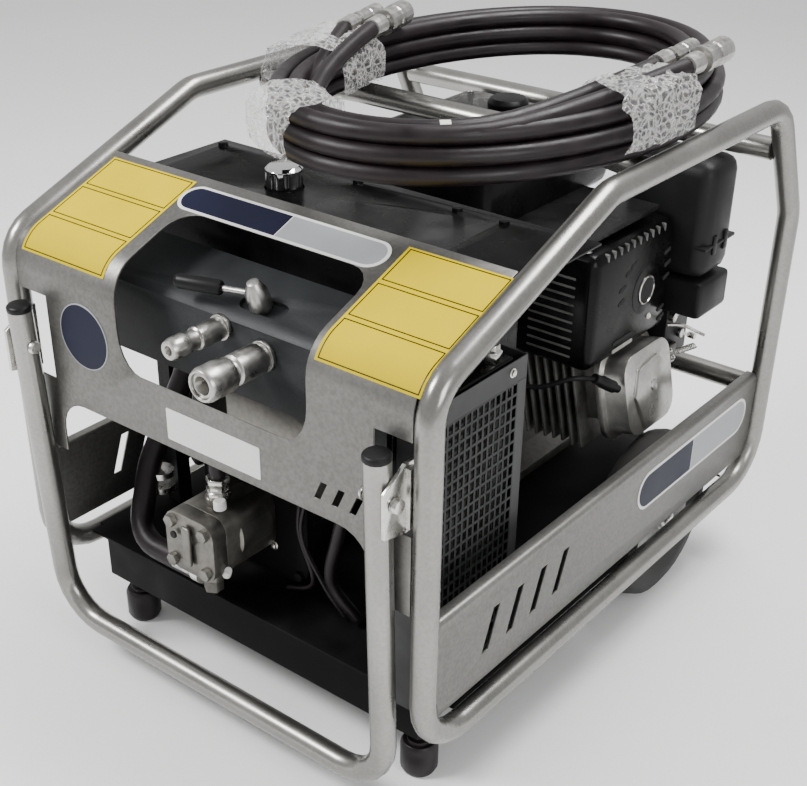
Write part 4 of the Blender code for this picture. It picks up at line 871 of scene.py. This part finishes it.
class UNIT_OT_muffler_guard(bpy.types.Operator):
    """Form the muffler guard with its louvres, slots and outlet"""
    bl_idname = "unit.muffler_guard"
    bl_label = "Muffler guard"

    def execute(self, context):
        low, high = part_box("muffler_guard")
        shell = boxed("muffler_guard_shell", low, high)
        only(shell)
        edit("DESELECT")
        leave()
        for edge in shell.data.edges:
            ends = [shell.data.vertices[i].co for i in edge.vertices]
            upright = abs(ends[0].z - ends[1].z) > 0.01
            crown = all(v.z > high.z - 0.001 for v in ends)
            edge.select = upright or crown
        bpy.ops.object.mode_set(mode="EDIT")
        bpy.ops.mesh.select_mode(type="EDGE")
        bpy.ops.mesh.bevel(offset=0.017, segments=3, affect="EDGES")
        leave()
        outward(shell)
        soften(shell, 0.0015, 2, 25)
        finish_piece(shell, "heat_black", 40, ("muffler_guard",))
        face = high.x
        first = boxed("louvre", (face - 0.0165, low.y + 0.030, high.z - 0.0225),
                      (face - 0.0006, low.y + 0.0365, high.z - 0.0035), 0.0022)
        finish_piece(repeated("top_louvres", first, LOUVRES, Y * 0.0172), "heat_grey")
        first = boxed("line", (low.x + 0.034, low.y - 0.0012, low.z + 0.020),
                      (high.x - 0.030, low.y + 0.002, low.z + 0.0235), 0.0011)
        finish_piece(repeated("front_louvres", first, LOUVRES, Z * 0.0128), "heat_grey")
        outlet = Vector((face, 0.243, 0.476))
        dish = turned("outlet_dish", outlet, X, [(-0.001, 0.036), (0.0004, 0.036), (0.0010, 0.033)], 40)
        finish_piece(dish, "heat_black")
        rim = [(0.0, 0.0215), (0.0028, 0.0215), (0.0036, 0.0205), (0.0036, 0.0195), (0.0014, 0.0185)]
        finish_piece(turned("outlet_rim", outlet, X, rim, 40), "bright_zinc")
        # The outlet's mouth is a near-black disc: painted shade inside the opening, with soot.
        turned_plate("outlet_mouth", outlet, X, 0.0183, 0.0030, "soot_and_hole_shade", 40)
        # The vent slots are near-black slabs on the guard face: painted shade where the guard is open.
        oval = rounded_outline(0.0185, 0.0066, 0.0032, 5)
        lean = Y * math.cos(0.25) + Z * math.sin(0.25)
        rise = Z * math.cos(0.25) - Y * math.sin(0.25)
        spots = [(0.190, 0.518), (0.176, 0.498), (0.176, 0.478), (0.298, 0.518), (0.302, 0.498), (0.302, 0.478),
                 (0.296, 0.430), (0.300, 0.414), (0.204, 0.526)]
        for number, (y, z) in enumerate(spots):
            if y > high.y - 0.017:
                y = high.y - 0.022
            slab("vent_%d" % number, oval, ((face, y, z), lean, rise, X), 0.0006, "soot_and_hole_shade")
        long_slot = rounded_outline(0.056, 0.0060, 0.0029, 5)
        slab("vent_long_0", long_slot, ((face, 0.190, 0.418), Y, Z, X), 0.0006, "soot_and_hole_shade")
        slab("vent_long_1", long_slot, ((face, 0.190, 0.4065), Y, Z, X), 0.0008, "heat_pale")
        hex_bolt("guard_screw_0", (0.196, 0.115, high.z - 0.0008), Z, 0.0052)
        hex_bolt("guard_screw_1", (0.150, 0.235, high.z - 0.0004), Z, 0.0058)
        hex_bolt("guard_screw_2", (face - 0.0004, 0.262, 0.428), X, 0.0038)
        hex_bolt("guard_screw_3", (low.x + 0.020, low.y + 0.0004, high.z - 0.030), -Y, 0.0048)
        return {"FINISHED"}


class UNIT_OT_engine_trim(bpy.types.Operator):
    """Add the rocker cover's crest, the linkage, the filter seam and the tank bolts"""
    bl_idname = "unit.engine_trim"
    bl_label = "Engine trim"

    def execute(self, context):
        tilt = math.radians(12)
        axis = Vector((math.cos(tilt), 0, math.sin(tilt)))
        up = Vector((-math.sin(tilt), 0, math.cos(tilt)))
        low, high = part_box("rocker_cover")
        middle = Vector((high.x, (low.y + high.y) / 2 + 0.003, (low.z + high.z) / 2 + 0.004))
        base = middle - axis * 0.012
        crest = [(-0.030, -0.050), (0.030, -0.050), (0.050, -0.018), (0.046, 0.030), (0.020, 0.052), (-0.034, 0.044),
                 (-0.050, 0.006)]
        slab("rocker_crest", crest, (base - axis * 0.002, Y, up, axis), 0.0075, "bright_casting", 0.004)
        low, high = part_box("air_cleaner_cover")
        seam = boxed("filter_seam", (low.x - 0.0022, low.y + 0.0004, 0.519),
                     (high.x + 0.0022, high.y + 0.0022, 0.5245), 0.0018)
        finish_piece(seam, "moulded_black")
        for number, y in enumerate((low.y + 0.030, high.y - 0.028)):
            clip = boxed("filter_clip_%d" % number, (high.x - 0.0004, y - 0.006, 0.508),
                         (high.x + 0.0028, y + 0.006, 0.536), 0.0014)
            finish_piece(clip, "moulded_black")
        rod_run = smooth_run([(0.222, 0.325, 0.392), (0.236, 0.350, 0.386), (0.240, 0.392, 0.362),
                              (0.246, 0.408, 0.352)])
        tube("throttle_rod", rod_run, 0.0026, "bright_zinc")
        helix = []
        start, end = Vector((0.240, 0.332, 0.350)), Vector((0.240, 0.392, 0.338))
        for k in range(181):
            t = k / 180
            a = 2 * math.pi * 12 * t
            helix.append(start.lerp(end, t) + Vector((math.cos(a), 0, math.sin(a))) * 0.0042)
        tube("governor_spring", helix, 0.0009, "bright_zinc", sides=2)
        plate_low = (0.2197, 0.322, 0.320)
        plate = boxed("linkage_plate", plate_low, (0.2260, 0.360, 0.352), 0.0014)
        finish_piece(plate, "dull_casting")
        for number, (y, z) in enumerate(((0.331, 0.329), (0.350, 0.328), (0.338, 0.344))):
            hex_bolt("linkage_bolt_%d" % number, (0.2258, y, z), X, 0.0042)
        rows = [(0, 0.006), (0.010, 0.006), (0.012, 0.009), (0.040, 0.009), (0.044, 0.0075), (0.058, 0.0072)]
        cap = turned("plug_cap", (0.236, 0.165, 0.352), Vector((-0.2, -0.75, 0.5)), rows, 20)
        finish_piece(cap, "moulded_black", 40)
        lead = smooth_run([(0.225, 0.124, 0.380), (0.205, 0.090, 0.388), (0.150, 0.060, 0.370), (0.050, 0.050, 0.390)])
        tube("plug_lead", lead, 0.0036, "moulded_black")
        for number, (x, y) in enumerate(((-0.168, 0.070), (0.056, 0.070), (-0.168, 0.345), (0.056, 0.345))):
            hex_bolt("fuel_bolt_%d" % number, (x, y, 0.6655), Z, 0.0052)
        return {"FINISHED"}


# ------------------------ pump side
class UNIT_OT_pump_trim(bpy.types.Operator):
    """Add the pump's rib, ports, fittings and the hoses behind the panel"""
    bl_idname = "unit.pump_trim"
    bl_label = "Pump trim"

    def execute(self, context):
        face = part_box("pump_cover")[0].y
        cast = "cast_aluminium"
        rib = boxed("pump_rib", (-0.067, face - 0.0005, 0.222), (-0.053, face + 0.0060, 0.282), 0.003, 3)
        finish_piece(rib, cast)
        # The plug is a near-black disc: painted shade in its recess.
        turned_plate("pump_plug", Vector((-0.083, face + 0.0030, 0.262)), -Y, 0.0052, 0.0030, "soot_and_hole_shade", 24)
        drum = turned("pump_drum", (CRANK.x + 0.004, -0.352, 0.252), Y,
                      [(0, 0.041), (0.003, 0.0445), (0.058, 0.0445), (0.062, 0.041)], 48)
        finish_piece(drum, cast, 40)
        port = [(0, 0.017), (0.010, 0.017), (0.011, 0.014), (0.020, 0.014), (0.022, 0.0165), (0.030, 0.0165)]
        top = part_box("pump_body")[1].z
        finish_piece(soften(turned("pump_port", (-0.050, -0.352, top - 0.012), Z, port, 6), 0.001, 1),
                     "bright_zinc")
        cap = turned("port_cap", (-0.028, -0.372, top - 0.012), Z, [(0, 0.0085), (0.010, 0.0085), (0.012, 0.007)], 24)
        finish_piece(cap, "label_white")
        elbow = [(0, 0.0105), (0.004, 0.0125), (0.040, 0.0125), (0.043, 0.0155), (0.056, 0.0155)]
        piece = turned("bottom_elbow", (-0.116, -0.378, 0.196), X, elbow, 24)
        finish_piece(piece, "bright_zinc")
        nut = turned("bottom_nut", (-0.050, -0.372, 0.206), -Z, [(0, 0.0165), (0.016, 0.0165), (0.018, 0.014),
                                                                (0.034, 0.014)], 6)
        finish_piece(soften(nut, 0.001, 1), "cast_aluminium")
        band = turned("port_band", (-0.024, -0.372, 0.206), Vector((0.3, -0.2, 0.4)), [(0, 0.006), (0.022, 0.005)], 12)
        finish_piece(band, "paper_tape")
        for number, (x, z) in enumerate(((-0.020, 0.209), (0.008, 0.310))):
            hex_bolt("flange_bolt_%d" % number, (x, -0.2850, z), -Y, 0.0055)
        block = boxed("valve_block", (-0.028, -0.3515, 0.416), (0.128, -0.3000, 0.4805), 0.003, 3)
        finish_piece(block, cast)
        runs = [
            ("pressure_hose", 0.0105, [(-0.050, -0.352, top + 0.016), (-0.050, -0.352, top + 0.04),
                                       (-0.040, -0.335, 0.380), (-0.020, -0.325, 0.418)]),
            ("return_hose", 0.0100, [(-0.090, -0.330, 0.480), (-0.096, -0.330, 0.430), (-0.118, -0.318, 0.360),
                                     (-0.150, -0.290, 0.300), (-0.190, -0.262, 0.290)]),
            ("drain_hose", 0.0085, [(0.150, -0.320, 0.480), (0.152, -0.318, 0.400), (0.120, -0.312, 0.300),
                                    (0.100, -0.305, 0.215), (0.130, -0.290, 0.160)]),
            ("cooler_feed", 0.0100, [(0.186, -0.320, 0.480), (0.190, -0.316, 0.380), (0.196, -0.300, 0.280),
                                     (0.206, -0.285, 0.200), (0.236, -0.280, 0.172)]),
            ("cable", 0.0034, [(0.060, -0.310, 0.416), (0.050, -0.296, 0.350), (0.040, -0.300, 0.270),
                               (0.060, -0.296, 0.190), (0.010, -0.292, 0.155)]),
            ("cable_twin", 0.0030, [(0.072, -0.310, 0.416), (0.068, -0.300, 0.360), (0.048, -0.304, 0.270),
                                    (0.080, -0.300, 0.200), (0.110, -0.292, 0.155)]),
        ]
        for name, radius, points in runs:
            tube(name, smooth_run(points), radius, "hose_rubber_sheen")
        ferrule = [(0, 0.0195), (0.003, 0.0208), (0.034, 0.0208), (0.037, 0.0195)]
        place = (-0.235, -0.224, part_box("suction_hose")[1].z - 0.046)
        finish_piece(turned("suction_ferrule", place, Z, ferrule, 32), "dull_casting")
        for number, z in enumerate((0.182, 0.158)):
            clamp = turned("hose_clamp_%d" % number, (-0.233, -0.290, z + 0.06), Z, [(0, 0.0185), (0.009, 0.0185)], 32)
            finish_piece(clamp, "bright_zinc")
        return {"FINISHED"}


# ------------------------ film and tape
def film_wrap(name, start, end, seed, inner=-0.050, outer=0.050, tall=0.075):
    """A crumpled clear wrap over part of the coil."""
    clear_selection()
    rows = max(14, int((end - start) * 330))
    bpy.ops.mesh.primitive_grid_add(x_subdivisions=30, y_subdivisions=rows, size=1.0)
    obj = settle(bpy.context.object, name)
    for vert in obj.data.vertices:
        u, v = vert.co.x + 0.5, vert.co.y + 0.5
        ragged = 0.010 * noise.noise(Vector((u * 6, seed, round(v) * 3.0)))
        turn = start + v * (end - start) + ragged
        lift = 0.0055 * noise.noise(Vector((u * 9, v * 7, seed))) + 0.003 * noise.noise(Vector((u * 25, v * 19, seed)))
        angle = math.pi * (1.12 - 1.24 * u)
        across = math.cos(angle)
        rise = max(0.0, math.sin(angle)) ** 0.55 if math.sin(angle) > 0 else math.sin(angle)
        middle = (inner + outer) / 2
        half = (outer - inner) / 2
        flat = math.copysign(abs(across) ** 0.55, across)
        height = tall * 0.42 + (tall * 0.60) * rise + lift
        vert.co = coil_point(turn, middle + (half + lift) * flat, height)
    return finish_piece(walled(obj, FILM_AND_PLATE), "clear_film", 25)


class UNIT_OT_wraps(bpy.types.Operator):
    """Wrap the coil in clear film and put the tape round a hose"""
    bl_idname = "unit.wraps"
    bl_label = "Film wraps"

    def execute(self, context):
        film_wrap("film_left", 0.020, 0.085, 2.0, -0.058, 0.050, 0.078)
        film_wrap("film_front", 0.165, 0.232, 5.0, -0.050, 0.046, 0.070)
        film_wrap("film_right", 0.450, 0.512, 9.0, -0.052, 0.040, 0.084)
        spot = coil_point(0.335, -0.0115, 0.0535)
        ahead = coil_point(0.342, -0.0115, 0.0535)
        rows = [(0, 0.0117), (0.012, 0.0117)]
        tape = turned("tape_band", spot, ahead - spot, rows, 32)
        finish_piece(tape, "paper_tape")
        return {"FINISHED"}


# ------------------------ carried-over pieces
PLAIN = {
    "frame_silver": ["side_frame_left", "side_frame_right", "rear_cross_tube", "rear_lower_tube", "lifting_bow",
                     "lift_handle"],
    "panel_silver": ["front_panel", "side_panel_left", "side_panel_right"],
    "bright_zinc": ["handle_pivot_left", "handle_pivot_right", "axle", "throttle_lever", "choke_lever"],
    "black_gloss": ["oil_tank", "tank_lid", "fuel_tank", "recoil_cover"],
    "heat_black": ["cooler_core"],
    "console_grey": ["console_box"],
    "cast_aluminium": ["pump_cover", "pump_body", "bell_housing"],
    "bright_casting": ["rocker_cover"],
    "tray_black": ["base_tray", "mounting_plate"],
    "dull_casting": ["crankcase", "cylinder"],
    "moulded_black": ["handle_cap_left", "handle_cap_right", "lever_grip", "cooler_fan", "air_cleaner_cover",
                      "air_cleaner_base", "fuel_cap", "starter_grip"],
    "coupling_steel": ["male_coupling", "female_coupling", "coupling_sleeve", "control_lever"],
    "hose_rubber_sheen": ["suction_hose", "foot_left", "foot_right"],
    "tyre_rubber": ["tyre_left", "tyre_right"],
    "rim_grey": ["rim_left", "rim_right"],
    "gear_steel": ["pump_drive_gear", "pump_idler_gear", "drive_coupling"],
    "chrome": ["tank_cap"],
}
UNROUNDED = [*PLAIN["frame_silver"], "suction_hose", "tyre_left", "tyre_right", "oil_tank", "fuel_tank",
             "air_cleaner_cover"]
EDGES = {**dict.fromkeys(UNROUNDED, 0), "front_panel": 0.0009, "side_panel_left": 0.0008,
         "side_panel_right": 0.0008, "console_box": 0.0025, "tank_lid": 0.0008}


class UNIT_OT_refine(bpy.types.Operator):
    """Give every carried-over piece soft edges and its finish"""
    bl_idname = "unit.refine"
    bl_label = "Refine pieces"

    def execute(self, context):
        for finish, nodes in PLAIN.items():
            for node in nodes:
                refined(node, finish, EDGES.get(node, 0.0007))
        for node in NODES:
            if node.startswith("hose_coupling"):
                coat(NODES[node], "coupling_steel")
        return {"FINISHED"}


class UNIT_PT_panel(bpy.types.Panel):
    """Lists the steps that build the power unit"""
    bl_idname = "UNIT_PT_panel"
    bl_label = "Power unit"
    bl_space_type = "VIEW_3D"
    bl_region_type = "UI"
    bl_category = "Power unit"

    def draw(self, context):
        for group in (context.scene.unit_sizes, context.scene.unit_colours):
            for name in group.__annotations__:
                self.layout.prop(group, name)
        for step in STEPS:
            self.layout.operator(step.bl_idname)


STEPS = [UNIT_OT_stage, UNIT_OT_hoses, UNIT_OT_refine, UNIT_OT_plates, UNIT_OT_cooler_guard,
         UNIT_OT_muffler_guard, UNIT_OT_engine_trim, UNIT_OT_pump_trim, UNIT_OT_wraps]
CLASSES = [UnitSizes, UnitColours, *STEPS, UNIT_PT_panel]


def register():
    for cls in CLASSES:
        bpy.utils.register_class(cls)
    bpy.types.Scene.unit_sizes = bpy.props.PointerProperty(type=UnitSizes)
    bpy.types.Scene.unit_colours = bpy.props.PointerProperty(type=UnitColours)


def unregister():
    del bpy.types.Scene.unit_colours
    del bpy.types.Scene.unit_sizes
    for cls in reversed(CLASSES):
        bpy.utils.unregister_class(cls)


def main():
    register()
    for step in STEPS:
        group, name = step.bl_idname.split(".")
        getattr(getattr(bpy.ops, group), name)()


if __name__ == "__main__":
    main()
